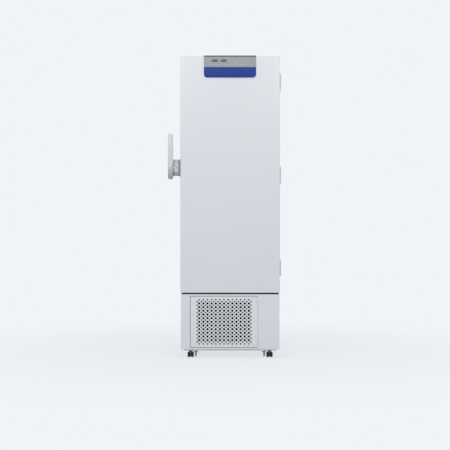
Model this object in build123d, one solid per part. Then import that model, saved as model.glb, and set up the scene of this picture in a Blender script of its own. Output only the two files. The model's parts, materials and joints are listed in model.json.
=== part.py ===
from build123d import *
from math import cos, pi, radians, sin
import os

os.makedirs("parts", exist_ok=True)

# Frame: millimetres, +Z up, the front faces -Y. Sub-parts are drawn about the cabinet's centre
# plane with y = 0 on the door's front face, then moved so that the origin is on the floor
# under the middle of the whole object.

# Cabinet and door
CABINET_HALF_WIDTH = 325.5
CABINET_REAR_Y = 850.0
TOP_Z = 2000.0
SPACER_DEPTH = 22.0
SHEET = 1.2
SEAT_GAP = 0.3
DOOR_OVERLAP = 3.0
DOOR_HALF_WIDTH = CABINET_HALF_WIDTH + DOOR_OVERLAP
DOOR_BOTTOM_Z = 434.0
DOOR_DEPTH = 100.0
DOOR_WALL = 1.5
DOOR_SOFT_EDGE = 4.0
DOOR_BACK_SHEET = 2.0
GASKET_DEPTH = 12.0
GASKET_INSET = 42.5
GASKET_WIDTH = 26.0
GASKET_FOOT = 4.0
CABINET_FRONT_Y = DOOR_DEPTH + GASKET_DEPTH

# Insulated chamber
SIDE_WALL = 105.5
FLOOR_WALL = 106.0
ROOF_WALL = 110.0
REAR_WALL = 115.0
CHAMBER_HALF_WIDTH = CABINET_HALF_WIDTH - SIDE_WALL
CHAMBER_BOTTOM_Z = DOOR_BOTTOM_Z + FLOOR_WALL
CHAMBER_TOP_Z = TOP_Z - ROOF_WALL
SHELF_COUNT = 3
SHELF_SETBACK = 72.0
SHELF_FRONT_Y = CABINET_FRONT_Y + SHELF_SETBACK
SHELF_LIP = 22.0
RAIL_DEPTH = 6.0
RAIL_WIDTH = 26.0
RAIL_TAB = 8.0
FRAME_DEPTH = 4.0

# Evaporator tube round the liner
COIL_LOOPS = 5
COIL_RADIUS = 4.0
COIL_GROOVE = 2 * COIL_RADIUS + 1.0
COIL_END_MARGIN = 80.0
COIL_FRONT_Y = CABINET_FRONT_Y + 88.0

# Castors
WHEEL_RADIUS = 17.0
WHEEL_HALF_WIDTH = 20.5
WHEEL_SIDES = 32
WHEEL_CLEAR_FLOOR = 0.3
CASTOR_HEADROOM = 18.0
CASTOR_TRAIL = 14.0
AXLE_RADIUS = 3.0
STEM_RADIUS = 5.0
YOKE_HALF_WIDTH = 13.0

# Machine compartment and its front panel
FASCIA_GAP = 10.0
FASCIA_RISE = 7.0
FASCIA_FRONT_Y = 3.0
FASCIA_RETURN = 20.0
ROOF_STEP = 6.0
ROOF_DROP = 12.0
CHASSIS_BOTTOM_Z = 2 * WHEEL_RADIUS + CASTOR_HEADROOM
FASCIA_BOTTOM_Z = CHASSIS_BOTTOM_Z + FASCIA_RISE
FASCIA_TOP_Z = DOOR_BOTTOM_Z - FASCIA_GAP
ROOF_Z = FASCIA_TOP_Z + ROOF_STEP
CHASSIS_INSET = 19.5
CHASSIS_HALF_WIDTH = CABINET_HALF_WIDTH - CHASSIS_INSET
CHASSIS_FRONT_Y = FASCIA_FRONT_Y + 15.0
CHASSIS_REAR_Y = CABINET_REAR_Y - 6.0
CHASSIS_SHEET = 2.0
CHASSIS_FLANGE = 26.0
TRAY_Z = CHASSIS_BOTTOM_Z + CHASSIS_SHEET

# Perforated filter door
GRILLE_LEFT_X = -CABINET_HALF_WIDTH + 63.5
GRILLE_RIGHT_X = CABINET_HALF_WIDTH - 144.0
GRILLE_BOTTOM_Z = FASCIA_BOTTOM_Z + 16.0
GRILLE_TOP_Z = FASCIA_TOP_Z - 14.0
GRILLE_GAP = 3.0
GRILLE_SHEET = 1.5
GRILLE_FLANGE = 10.0
HOLE_PITCH_X = 27.3
HOLE_PITCH_Z = 24.2
HOLE_MARGIN_X = 55.0
HOLE_MARGIN_Z = 45.0
LARGE_HOLE_RADIUS = 7.2
SMALL_HOLE_RADIUS = 4.9
HOLE_EDGE_ROW = 24.7
FILTER_PLEATS = 18
FILTER_DEPTH = 10.0
FILTER_PAD = 1.0
BUTT_RADIUS = 2.7
BUTT_PIN_RADIUS = 1.4
BUTT_LENGTH = 12.0
BUTT_LEAF = 16.0
BUTT_END_MARGIN = 30.0

# Door hinges
HINGE_HEIGHT = 112.0
HINGE_LEAF_LENGTH = 78.0
HINGE_LEAF_THICKNESS = 5.0
KNUCKLE_RADIUS = 6.5
HINGE_PIN_RADIUS = 3.5
HINGE_X = DOOR_HALF_WIDTH + KNUCKLE_RADIUS + 0.5
HINGE_Y = DOOR_DEPTH + GASKET_DEPTH / 2
LOW_HINGE_Z = DOOR_BOTTOM_Z + 106.0
HIGH_HINGE_Z = TOP_Z - 221.0
HINGE_BOTTOMS_Z = (LOW_HINGE_Z, (LOW_HINGE_Z + HIGH_HINGE_Z) / 2, HIGH_HINGE_Z)
RUNNING = 0.06
PIN_SIDES = 12
TUBE_SIDES = 8

# Latch
PIVOT_Y = DOOR_DEPTH - 42.0
PIVOT_Z = DOOR_BOTTOM_Z + 802.0
SHAFT_RADIUS = 6.0
LEVER_WIDTH = 32.7
LEVER_CLEARANCE = 0.5
LEVER_DROP = 52.3
LEVER_RISE = 248.6
LEVER_FRONT_Y = -14.0
BLOCK_WIDTH = 48.2
BLOCK_OUTER_X = -DOOR_HALF_WIDTH - BLOCK_WIDTH
BLOCK_BOTTOM_Z = PIVOT_Z - 27.3
BLOCK_TOP_Z = PIVOT_Z + 79.0
BLOCK_REAR_Y = DOOR_DEPTH - 4.0
LEVER_INNER_X = BLOCK_OUTER_X - LEVER_CLEARANCE
LEVER_OUTER_X = LEVER_INNER_X - LEVER_WIDTH
LEVER_BOTTOM_Z = PIVOT_Z - LEVER_DROP
LEVER_TOP_Z = PIVOT_Z + LEVER_RISE
HOOK_THICKNESS = 8.0
HOOK_CLEARANCE = 2.5
HOOK_INNER_X = -DOOR_HALF_WIDTH - 15.5
HOOK_X = (HOOK_INNER_X - HOOK_THICKNESS, HOOK_INNER_X)
KEEPER_PIN_RADIUS = 5.0
KEEPER_LENGTH = 60.0
KEEPER_HALF_HEIGHT = 45.0
KEEPER_PIN_Y = CABINET_FRONT_Y + 16.0
HOOK_REACH = KEEPER_PIN_Y - PIVOT_Y
LOCK_X = -DOOR_HALF_WIDTH - 35.2
LOCK_Z = PIVOT_Z + 30.0
LOCK_RADIUS = 8.0

# Control panel
PANEL_WIDTH = 343.8
PANEL_CENTRE_X = -1.0
PANEL_LEFT_X = PANEL_CENTRE_X - PANEL_WIDTH / 2
PANEL_RIGHT_X = PANEL_CENTRE_X + PANEL_WIDTH / 2
PANEL_SPLIT_Z = TOP_Z - 76.5
PANEL_BOTTOM_Z = PANEL_SPLIT_Z - 69.3
PANEL_DEPTH = 6.0
PANEL_CORNER = 22.0
DISPLAY_CENTRES_X = (-101.3, -42.5)
DISPLAY_Z = TOP_Z - 34.3
DISPLAY_SIZE = (43.0, 17.0)
KEY_CENTRES_X = (-90.4, -35.6, 16.5, 77.9)
KEY_Z = TOP_Z - 60.6
KEY_SIZE = (17.0, 9.0)
KEY_PROUD = 1.0
KEY_DEPTH = 4.0
KEY_CLEARANCE = 0.35

# Inner doors
INNER_DOOR_FRONT_Y = CABINET_FRONT_Y + 30.0
INNER_DOOR_DEPTH = 24.0
INNER_DOOR_GAP = 4.0
INNER_PIN_RADIUS = 4.0
INNER_PIN_INSET = 8.0
PLUG_DEPTH = 20.0
PLUG_GAP = 12.0

# Castor and levelling foot places
CASTOR_X = CHASSIS_HALF_WIDTH - 43.0
CASTOR_FRONT_Y = CHASSIS_FRONT_Y + 76.0
CASTOR_REAR_Y = CABINET_REAR_Y - 80.0
FOOT_X = CASTOR_X - 33.0
FOOT_BEHIND_CASTOR = 50.0
FOOT_RADIUS = 7.5
FOOT_HEIGHT = 24.0
FOOT_DISC_RADIUS = 17.0
FOOT_THREAD_RADIUS = 6.0
FOOT_SHANK_RADIUS = 4.0

# Condenser and fan
CONDENSER_LEFT_X = -CABINET_HALF_WIDTH + 25.5
CONDENSER_RIGHT_X = CABINET_HALF_WIDTH - 105.5
CONDENSER_BOTTOM_Z = TRAY_Z + 36.0
CONDENSER_TOP_Z = FASCIA_TOP_Z - 29.0
CONDENSER_FRONT_Y = CHASSIS_FRONT_Y + 42.0
CONDENSER_DEPTH = 58.0
FIN_COUNT = 14
FIN_THICKNESS = 5.0
CORE_THICKNESS = 6.0
SHROUD_SHEET = 3.0
SHROUD_FRONT_Y = CONDENSER_FRONT_Y + CONDENSER_DEPTH
COLLAR_DEPTH = 32.0
COLLAR_WALL = 2.0
FAN_TIP_GAP = 8.0
FAN_MARGIN = 62.5
FAN_X = (CONDENSER_LEFT_X + CONDENSER_RIGHT_X) / 2
FAN_Z = (TRAY_Z + CONDENSER_TOP_Z) / 2
FAN_RADIUS = (CONDENSER_TOP_Z - TRAY_Z) / 2 - FAN_MARGIN
FAN_FRONT_Y = SHROUD_FRONT_Y + COLLAR_DEPTH
FAN_BLADES = 5
FAN_HUB_RADIUS = 24.0
FAN_HUB_DEPTH = 24.0
FAN_SHAFT_RADIUS = 4.0
MOTOR_RADIUS = 36.0
MOTOR_LENGTH = 62.0
MOTOR_POST = 28.0

# Compressors, separator, exchanger and electrics
COMPRESSOR_X = 150.0
COMPRESSOR_Y = CABINET_REAR_Y - 330.0
COMPRESSOR_RADIUS = 92.0
HIGH_STAGE_HEIGHT = 250.0
LOW_STAGE_HEIGHT = 220.0
COMPRESSOR_FOOT = 20.0
SEPARATOR_Y = COMPRESSOR_Y + 170.0
SEPARATOR_HEIGHT = 210.0
SEPARATOR_RADIUS = 34.0
SEPARATOR_NECK = 14.0
EXCHANGER_WIDTH = 180.0
EXCHANGER_DEPTH = 140.0
EXCHANGER_HEIGHT = 180.0
EXCHANGER_LEFT_X = -CABINET_HALF_WIDTH + 35.5
EXCHANGER_RIGHT_X = EXCHANGER_LEFT_X + EXCHANGER_WIDTH
EXCHANGER_REAR_Y = CABINET_REAR_Y - 70.0
LINE_RADIUS = 4.0
LINE_RISE = 26.0
CONTROL_BOX_LEFT_X = 54.0
CONTROL_BOX_RIGHT_X = CHASSIS_HALF_WIDTH - 70.0
CONTROL_BOX_DEPTH = 140.0
CONTROL_BOX_HEIGHT = 240.0
CONTROL_BOX_REAR_Y = CABINET_REAR_Y - 50.0
CONTROL_LID = 8.0
CONTROL_LID_EDGE = 4.0
PORT_X = CHAMBER_HALF_WIDTH - 80.0
PORT_Z = TOP_Z - 300.0
PORT_RADIUS = 13.0
PORT_SLEEVE = 2.0
STOPPER_LENGTH = 45.0
STOPPER_CAP = 8.0

# Rear face
LOUVRE_COUNT = 8
LOUVRE_PITCH = 26.0
LOUVRE_HEIGHT = 9.0
LOUVRE_HALF_WIDTH = 150.0
LOUVRE_BOTTOM_Z = FASCIA_BOTTOM_Z + 91.0
INLET_CENTRE_X = -CABINET_HALF_WIDTH + 85.5
INLET_CENTRE_Z = FASCIA_BOTTOM_Z + 54.0
INLET_SIZE = (44.0, 34.0)
INLET_MOUTH = (28.0, 22.0)
INLET_DEPTH = 10.0
INLET_FLOOR = 2.0
INLET_PIN_PITCH = 7.0
INLET_PIN_SIZE = (3.0, 7.0)
INLET_PIN_LENGTH = 6.0
SPACER_X = CABINET_HALF_WIDTH - 85.5
SPACER_WIDTH = 44.0
SPACER_HEIGHT = 60.0
SPACER_LOW_Z = DOOR_BOTTOM_Z + 46.0
SPACER_HIGH_Z = TOP_Z - 120.0

# Where the object's middle lies, from its outermost faces
SHIFT_X = -(LEVER_OUTER_X + HINGE_X + KNUCKLE_RADIUS) / 2
SHIFT_Y = -(LEVER_FRONT_Y + CABINET_REAR_Y + SPACER_DEPTH) / 2


def block(x, y, z):
    """A box between the low and high value given for each axis."""
    middle = Pos((x[0] + x[1]) / 2, (y[0] + y[1]) / 2, (z[0] + z[1]) / 2)
    return middle * Box(x[1] - x[0], y[1] - y[0], z[1] - z[0])


def bar(origin, direction, radius, length, sides):
    """A bar of round section, or of a regular section whose corners lie on the radius."""
    section = RegularPolygon(radius, sides) if sides else Circle(radius)
    return extrude(Plane(origin=origin, z_dir=direction) * section, length)


def rod_x(radius, x, y, z, sides=0):
    """A bar along X."""
    return bar((x[0], y, z), (1, 0, 0), radius, x[1] - x[0], sides)


def rod_y(radius, x, y, z, sides=0):
    """A bar along Y."""
    return bar((x, y[0], z), (0, 1, 0), radius, y[1] - y[0], sides)


def rod_z(radius, x, y, z, sides=0):
    """A bar along Z."""
    return bar((x, y, z[0]), (0, 0, 1), radius, z[1] - z[0], sides)


def clear_of(radius, sides):
    """Corner radius of a regular bore whose flats clear a turning pin of the given radius."""
    return (radius + RUNNING) / cos(pi / sides)


def across_x(points, x):
    """A side profile of (y, z) points, extruded between two X values."""
    face = Plane.YZ.offset(x[0]) * Polygon(*points, align=None)
    return extrude(face, x[1] - x[0], dir=(1, 0, 0))


def across_y(points, y):
    """A front profile of (x, z) points, extruded between two Y values."""
    face = Plane.XZ.offset(-y[0]) * Polygon(*points, align=None)
    return extrude(face, y[1] - y[0], dir=(0, 1, 0))


def across_z(points, z):
    """A plan profile of (x, y) points, extruded between two Z values."""
    face = Plane.XY.offset(z[0]) * Polygon(*points, align=None)
    return extrude(face, z[1] - z[0], dir=(0, 0, 1))


def ring(x, z, y, width):
    """A rectangular picture frame that faces Y, its members `width` wide."""
    inner = block((x[0] + width, x[1] - width), y, (z[0] + width, z[1] - width))
    return block(x, y, z) - inner


def turned(points, x, y):
    """A body of revolution about a vertical line, from (radius, z) points."""
    return Pos(x, y, 0) * revolve(Plane.XZ * Polygon(*points, align=None), Axis.Z)


def tube_path(points, radius):
    """A tube that follows straight runs with mitred corners."""
    path = Polyline(*points)
    return sweep((path ^ 0) * RegularPolygon(radius, TUBE_SIDES), path, transition=Transition.RIGHT)


# Outer shell
def side_panels():
    """Left and right sheets, each with a foot that runs forward beside the machines."""
    outline = [
        (FASCIA_FRONT_Y + SHEET, FASCIA_BOTTOM_Z),
        (FASCIA_FRONT_Y + SHEET, FASCIA_TOP_Z),
        (CABINET_FRONT_Y, FASCIA_TOP_Z),
        (CABINET_FRONT_Y, TOP_Z),
        (CABINET_REAR_Y, TOP_Z),
        (CABINET_REAR_Y, FASCIA_BOTTOM_Z),
    ]
    outer, inner = CABINET_HALF_WIDTH, CABINET_HALF_WIDTH - SHEET
    return [across_x(outline, (-outer, -inner)), across_x(outline, (inner, outer))]


def inner_half_width():
    return CABINET_HALF_WIDTH - SHEET


def top_panel():
    half = inner_half_width()
    return block((-half, half), (CABINET_FRONT_Y, CABINET_REAR_Y), (TOP_Z - SHEET, TOP_Z))


def rear_panel():
    half = inner_half_width()
    sheet = block(
        (-half, half), (CABINET_REAR_Y - SHEET, CABINET_REAR_Y), (FASCIA_TOP_Z, TOP_Z - SHEET)
    )
    return sheet - rod_y(
        PORT_RADIUS + PORT_SLEEVE, PORT_X, (CABINET_REAR_Y - 5, CABINET_REAR_Y + 5), PORT_Z, PIN_SIDES
    )


# Insulation, liner and everything fixed in the chamber
def chamber_rear_y():
    return CABINET_REAR_Y - REAR_WALL


def coil_points():
    side_x = CHAMBER_HALF_WIDTH + SHEET + COIL_RADIUS + SEAT_GAP
    rear_y = chamber_rear_y() + SHEET + COIL_RADIUS + SEAT_GAP
    pitch = (CHAMBER_TOP_Z - CHAMBER_BOTTOM_Z - 2 * COIL_END_MARGIN) / (COIL_LOOPS - 1)
    points = []
    for loop in range(COIL_LOOPS):
        z = CHAMBER_BOTTOM_Z + COIL_END_MARGIN + pitch * loop
        first = -side_x if loop % 2 == 0 else side_x
        points += [
            (first, COIL_FRONT_Y, z),
            (first, rear_y, z),
            (-first, rear_y, z),
            (-first, COIL_FRONT_Y, z),
        ]
    return points


def evaporator_coil():
    return tube_path(coil_points(), COIL_RADIUS)


def coil_grooves():
    """Straight square channels that hold the tube, run by run."""
    half = COIL_GROOVE / 2
    points = coil_points()
    grooves = []
    for start, end in zip(points, points[1:]):
        spans = [(min(a, b) - half, max(a, b) + half) for a, b in zip(start, end)]
        grooves.append(block(*spans))
    return grooves


def cabinet_insulation():
    half = inner_half_width()
    body = block(
        (-half, half),
        (CABINET_FRONT_Y + FRAME_DEPTH, CABINET_REAR_Y - SHEET),
        (ROOF_Z + SHEET, TOP_Z - SHEET),
    )
    cavity = block(
        (-CHAMBER_HALF_WIDTH - SHEET, CHAMBER_HALF_WIDTH + SHEET),
        (0, chamber_rear_y() + SHEET),
        (CHAMBER_BOTTOM_Z - SHEET, CHAMBER_TOP_Z + SHEET),
    )
    port = rod_y(
        PORT_RADIUS + PORT_SLEEVE, PORT_X, (chamber_rear_y(), CABINET_REAR_Y), PORT_Z, PIN_SIDES
    )
    return body - cavity - port - coil_grooves()


def inner_liner():
    half = CHAMBER_HALF_WIDTH
    front = CABINET_FRONT_Y + FRAME_DEPTH
    outer = block(
        (-half - SHEET, half + SHEET),
        (front, chamber_rear_y() + SHEET),
        (CHAMBER_BOTTOM_Z - SHEET, CHAMBER_TOP_Z + SHEET),
    )
    inner = block(
        (-half, half), (front - 1, chamber_rear_y()), (CHAMBER_BOTTOM_Z, CHAMBER_TOP_Z)
    )
    port_span = (chamber_rear_y() - 5, CABINET_REAR_Y)
    port = rod_y(PORT_RADIUS + PORT_SLEEVE, PORT_X, port_span, PORT_Z, PIN_SIDES)
    return outer - inner - port


def breaker_frame():
    half = inner_half_width()
    outer = block(
        (-half, half),
        (CABINET_FRONT_Y, CABINET_FRONT_Y + FRAME_DEPTH),
        (ROOF_Z + SHEET, TOP_Z - SHEET),
    )
    opening = block(
        (-CHAMBER_HALF_WIDTH, CHAMBER_HALF_WIDTH),
        (CABINET_FRONT_Y - 1, CABINET_FRONT_Y + FRAME_DEPTH + 1),
        (CHAMBER_BOTTOM_Z, CHAMBER_TOP_Z),
    )
    return outer - opening


def shelf_heights():
    pitch = (CHAMBER_TOP_Z - CHAMBER_BOTTOM_Z) / (SHELF_COUNT + 1)
    return [CHAMBER_BOTTOM_Z + pitch * (i + 1) for i in range(SHELF_COUNT)]


def shelf_rails():
    """Four rails with a tab under each shelf."""
    rails = []
    wall = CHAMBER_HALF_WIDTH
    face = wall - RAIL_DEPTH
    tab = face - RAIL_TAB
    for side in (-1, 1):
        outline = [(side * wall, CHAMBER_BOTTOM_Z + 10), (side * face, CHAMBER_BOTTOM_Z + 10)]
        for z in shelf_heights():
            outline += [(side * face, z - 14), (side * tab, z - 4), (side * tab, z)]
            outline += [(side * face, z)]
        outline += [(side * face, CHAMBER_TOP_Z - 10), (side * wall, CHAMBER_TOP_Z - 10)]
        for y in (SHELF_FRONT_Y + 30, chamber_rear_y() - 60):
            rails.append(across_y(outline, (y, y + RAIL_WIDTH)))
    return rails


def shelves():
    """Pressed shelves whose front and rear edges turn down."""
    made = []
    front, rear = SHELF_FRONT_Y, chamber_rear_y() - 8
    half = CHAMBER_HALF_WIDTH - RAIL_DEPTH - RAIL_TAB / 4
    for z in shelf_heights():
        outline = [
            (front, z + SHEET),
            (rear, z + SHEET),
            (rear, z - SHELF_LIP),
            (rear - SHEET, z - SHELF_LIP),
            (rear - SHEET, z),
            (front + SHEET, z),
            (front + SHEET, z - SHELF_LIP),
            (front, z - SHELF_LIP),
        ]
        made.append(across_x(outline, (-half, half)))
    return made


def access_port():
    """Sleeve through the rear wall and the stopper that closes it."""
    span = (chamber_rear_y() - 2, CABINET_REAR_Y + 4)
    outer = rod_y(PORT_RADIUS + PORT_SLEEVE, PORT_X, span, PORT_Z, PIN_SIDES)
    bore = rod_y(PORT_RADIUS, PORT_X, (span[0] - 1, span[1] + 1), PORT_Z, PIN_SIDES)
    inside = PORT_RADIUS - SEAT_GAP
    end = span[1]
    stopper_span = (end - STOPPER_LENGTH, end + STOPPER_CAP)
    stopper = rod_y(inside, PORT_X, stopper_span, PORT_Z, PIN_SIDES)
    cap_radius = PORT_RADIUS + PORT_SLEEVE + 3
    cap = rod_y(cap_radius, PORT_X, (end, end + STOPPER_CAP), PORT_Z, PIN_SIDES)
    return [outer - bore, stopper + cap]


# Machine compartment
def castor_places():
    return [
        (side * CASTOR_X, y) for y in (CASTOR_FRONT_Y, CASTOR_REAR_Y) for side in (-1, 1)
    ]


def foot_places():
    return [(side * FOOT_X, CASTOR_FRONT_Y + FOOT_BEHIND_CASTOR) for side in (-1, 1)]


def chassis_tray():
    """Pan with turned-up edges, bossed for the castor stems and the levelling threads."""
    half = CHASSIS_HALF_WIDTH
    low, high = CHASSIS_BOTTOM_Z, CHASSIS_BOTTOM_Z + CHASSIS_FLANGE
    front = CHASSIS_FRONT_Y
    tray = block((-half, half), (front, CHASSIS_REAR_Y), (low, high))
    wall = CHASSIS_SHEET
    tray -= block(
        (-half + wall, half - wall),
        (front + wall, CHASSIS_REAR_Y - wall),
        (low + wall, high + 1),
    )
    side = inner_half_width()
    lip = block((-side, side), (front, CABINET_REAR_Y - SHEET), (high - wall, high))
    lip -= block((-half, half), (front - 1, CHASSIS_REAR_Y), (high - wall - 1, high + 1))
    tray += lip
    for x, y in castor_places():
        tray += rod_z(STEM_RADIUS + 4, x, y, (low, low + 20), 6)
        tray -= rod_z(clear_of(STEM_RADIUS, PIN_SIDES), x, y, (low - 1, low + 21), PIN_SIDES)
    for x, y in foot_places():
        tray += rod_z(FOOT_THREAD_RADIUS + 5, x, y, (low, low + 16), 6)
        thread = clear_of(FOOT_THREAD_RADIUS, PIN_SIDES)
        tray -= rod_z(thread, x, y, (low - 1, low + 17), PIN_SIDES)
    return tray


def compartment_roof():
    """Bent sheet under the insulated box, lower in front where the door's bottom edge is."""
    half = inner_half_width()
    front, step = FASCIA_FRONT_Y + FASCIA_RETURN, CABINET_FRONT_Y + FASCIA_RETURN
    low, high = FASCIA_TOP_Z - ROOF_DROP, ROOF_Z
    outline = [
        (front, low),
        (front, low + SHEET),
        (step - SHEET, low + SHEET),
        (step - SHEET, high + SHEET),
        (CABINET_REAR_Y - SHEET, high + SHEET),
        (CABINET_REAR_Y - SHEET, high),
        (step, high),
        (step, low),
    ]
    return across_x(outline, (-half, half))


def lower_fascia():
    """Front panel of the machine compartment, with the filter door's opening and its leaves."""
    front = FASCIA_FRONT_Y
    half = CABINET_HALF_WIDTH - 0.4
    face = block((-half, half), (front, front + SHEET), (FASCIA_BOTTOM_Z, FASCIA_TOP_Z))
    top_return = block(
        (-inner_half_width(), inner_half_width()),
        (front, front + FASCIA_RETURN),
        (FASCIA_TOP_Z - SHEET, FASCIA_TOP_Z),
    )
    drop = block(
        (-inner_half_width(), inner_half_width()),
        (front + FASCIA_RETURN - SHEET, front + FASCIA_RETURN),
        (FASCIA_TOP_Z - ROOF_DROP - 1, FASCIA_TOP_Z),
    )
    bottom_return = block(
        (-inner_half_width(), inner_half_width()),
        (front, front + 12),
        (FASCIA_BOTTOM_Z, FASCIA_BOTTOM_Z + SHEET),
    )
    opening = block(
        (GRILLE_LEFT_X - GRILLE_GAP, GRILLE_RIGHT_X + 1),
        (front - 1, front + 5),
        (GRILLE_BOTTOM_Z - GRILLE_GAP, GRILLE_TOP_Z + GRILLE_GAP),
    )
    fascia = face + top_return + drop + bottom_return - opening
    for z in butt_heights():
        fascia += butt_leaf((butt_x(), butt_x() + BUTT_LEAF), (z, z + BUTT_LENGTH))
        pin_span = (z, z + 2 * BUTT_LENGTH - 2)
        fascia += rod_z(BUTT_PIN_RADIUS, butt_x(), butt_y(), pin_span)
    return fascia


def butt_x():
    return GRILLE_RIGHT_X + 0.5


def butt_y():
    return FASCIA_FRONT_Y - BUTT_RADIUS - SEAT_GAP


def butt_heights():
    return (GRILLE_BOTTOM_Z + BUTT_END_MARGIN, GRILLE_TOP_Z - BUTT_END_MARGIN - 2 * BUTT_LENGTH)


def butt_leaf(x, z):
    """One leaf of a surface butt hinge, with its knuckle."""
    leaf = block(x, (FASCIA_FRONT_Y - 1.2, FASCIA_FRONT_Y), z)
    fill = block(
        (butt_x() - 1, butt_x() + 1), (FASCIA_FRONT_Y - 2.5, FASCIA_FRONT_Y - 0.4), z
    )
    side = 1 if x[0] >= butt_x() else -1
    fill = Pos(side * 1.0, 0, 0) * fill
    return leaf + fill + rod_z(BUTT_RADIUS, butt_x(), butt_y(), z, PIN_SIDES)


def hole_centres():
    """Centres of the large holes and of the small holes set between and beyond them."""
    middle_x = (GRILLE_LEFT_X + GRILLE_RIGHT_X) / 2
    middle_z = (GRILLE_BOTTOM_Z + GRILLE_TOP_Z) / 2
    room_x = GRILLE_RIGHT_X - GRILLE_LEFT_X - 2 * HOLE_MARGIN_X
    room_z = GRILLE_TOP_Z - GRILLE_BOTTOM_Z - 2 * HOLE_MARGIN_Z
    columns = 1 + int(room_x / HOLE_PITCH_X)
    rows = 1 + int(room_z / HOLE_PITCH_Z)
    xs = [middle_x + HOLE_PITCH_X * (i - (columns - 1) / 2) for i in range(columns)]
    zs = [middle_z + HOLE_PITCH_Z * (i - (rows - 1) / 2) for i in range(rows)]
    large = [(x, z) for x in xs for z in zs]
    half_x, half_z = HOLE_PITCH_X / 2, HOLE_PITCH_Z / 2
    between_x = [xs[0] - half_x] + [x + half_x for x in xs]
    between_z = [zs[0] - half_z] + [z + half_z for z in zs]
    small = [(x, z) for x in between_x for z in between_z]
    small += [(x, z) for x in xs for z in (zs[0] - HOLE_EDGE_ROW, zs[-1] + HOLE_EDGE_ROW)]
    return large, small


def filter_door():
    """Shallow pan with a perforated face: two sizes of hole on offset grids."""
    middle = ((GRILLE_LEFT_X + GRILLE_RIGHT_X) / 2, (GRILLE_BOTTOM_Z + GRILLE_TOP_Z) / 2)
    width, height = GRILLE_RIGHT_X - GRILLE_LEFT_X, GRILLE_TOP_Z - GRILLE_BOTTOM_Z
    outline = Pos(*middle) * Rectangle(width, height)
    large, small = hole_centres()
    holes = [Pos(x, z) * RegularPolygon(LARGE_HOLE_RADIUS, 6) for x, z in large]
    holes += [Pos(x, z) * RegularPolygon(SMALL_HOLE_RADIUS, 4) for x, z in small]
    front, rear = FASCIA_FRONT_Y, FASCIA_FRONT_Y + GRILLE_SHEET
    face = extrude(Plane.XZ.offset(-front) * (outline - holes), GRILLE_SHEET, dir=(0, 1, 0))
    flange = ring(
        (GRILLE_LEFT_X, GRILLE_RIGHT_X),
        (GRILLE_BOTTOM_Z, GRILLE_TOP_Z),
        (rear, rear + GRILLE_FLANGE),
        SHEET,
    )
    door = face + flange
    for z in butt_heights():
        span = (z + BUTT_LENGTH + SEAT_GAP, z + 2 * BUTT_LENGTH)
        door += butt_leaf((butt_x() - BUTT_LEAF, butt_x()), span)
        bore = clear_of(BUTT_PIN_RADIUS, PIN_SIDES)
        door -= rod_z(bore, butt_x(), butt_y(), (z, span[1] + 1), PIN_SIDES)
    return door


def filter_mesh():
    """Pleated pad held in the filter door's flanges."""
    left, right = GRILLE_LEFT_X + SHEET, GRILLE_RIGHT_X - SHEET
    front = FASCIA_FRONT_Y + GRILLE_SHEET + 0.5
    back = front + FILTER_DEPTH - 1.5
    pitch = (right - left) / (2 * FILTER_PLEATS)
    near = [
        (left + pitch * i, front if i % 2 == 0 else back - FILTER_PAD)
        for i in range(2 * FILTER_PLEATS + 1)
    ]
    far = [(x, y + FILTER_PAD) for x, y in reversed(near)]
    return across_z(near + far, (GRILLE_BOTTOM_Z + SHEET, GRILLE_TOP_Z - SHEET))


def condenser():
    """Finned core between two headers, fins standing forward and back of it."""
    left, right = CONDENSER_LEFT_X, CONDENSER_RIGHT_X
    front, back = CONDENSER_FRONT_Y, SHROUD_FRONT_Y
    pitch = (right - left) / FIN_COUNT
    core_front = (front + back - CORE_THICKNESS) / 2
    core_back = core_front + CORE_THICKNESS
    outline = [(left, front)]
    for i in range(FIN_COUNT):
        near, far = left + pitch * i + FIN_THICKNESS, left + pitch * (i + 1)
        outline += [(near, front), (near, core_front), (far, core_front), (far, front)]
    outline += [(right + FIN_THICKNESS, front), (right + FIN_THICKNESS, back)]
    for i in range(FIN_COUNT, 0, -1):
        near, far = left + pitch * i, left + pitch * (i - 1) + FIN_THICKNESS
        outline += [(near, back), (near, core_back), (far, core_back), (far, back)]
    outline += [(left, back)]
    return across_z(outline, (CONDENSER_BOTTOM_Z, CONDENSER_TOP_Z))


def fan_shroud():
    """Plate behind the condenser with the fan's collar."""
    front = SHROUD_FRONT_Y
    right = CONDENSER_RIGHT_X + FIN_THICKNESS
    plate = block((CONDENSER_LEFT_X, right), (front, front + SHROUD_SHEET), (TRAY_Z, CONDENSER_TOP_Z))
    mouth = FAN_RADIUS + FAN_TIP_GAP
    opening = rod_y(mouth, FAN_X, (front - 1, FAN_FRONT_Y + 1), FAN_Z)
    collar = rod_y(mouth + COLLAR_WALL, FAN_X, (front + 1, FAN_FRONT_Y), FAN_Z)
    return plate + collar - opening


def fan_blades():
    """Hub with twisted blades."""
    rear = FAN_FRONT_Y + 4
    front = rear - FAN_HUB_DEPTH
    blades = rod_y(FAN_HUB_RADIUS, FAN_X, (front, rear), FAN_Z, 2 * PIN_SIDES)
    length = FAN_RADIUS - FAN_HUB_RADIUS + 10
    for i in range(FAN_BLADES):
        blade = Pos(FAN_RADIUS - length / 2, 0, 0) * Rot(35, 0, 0) * Box(length, 2, 40)
        turn = Rot(0, 360 / FAN_BLADES * i, 0)
        blades += Pos(FAN_X, (front + rear) / 2, FAN_Z) * turn * blade
    bore = clear_of(FAN_SHAFT_RADIUS, PIN_SIDES)
    return blades - rod_y(bore, FAN_X, (front + 6, rear + 1), FAN_Z, PIN_SIDES)


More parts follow.
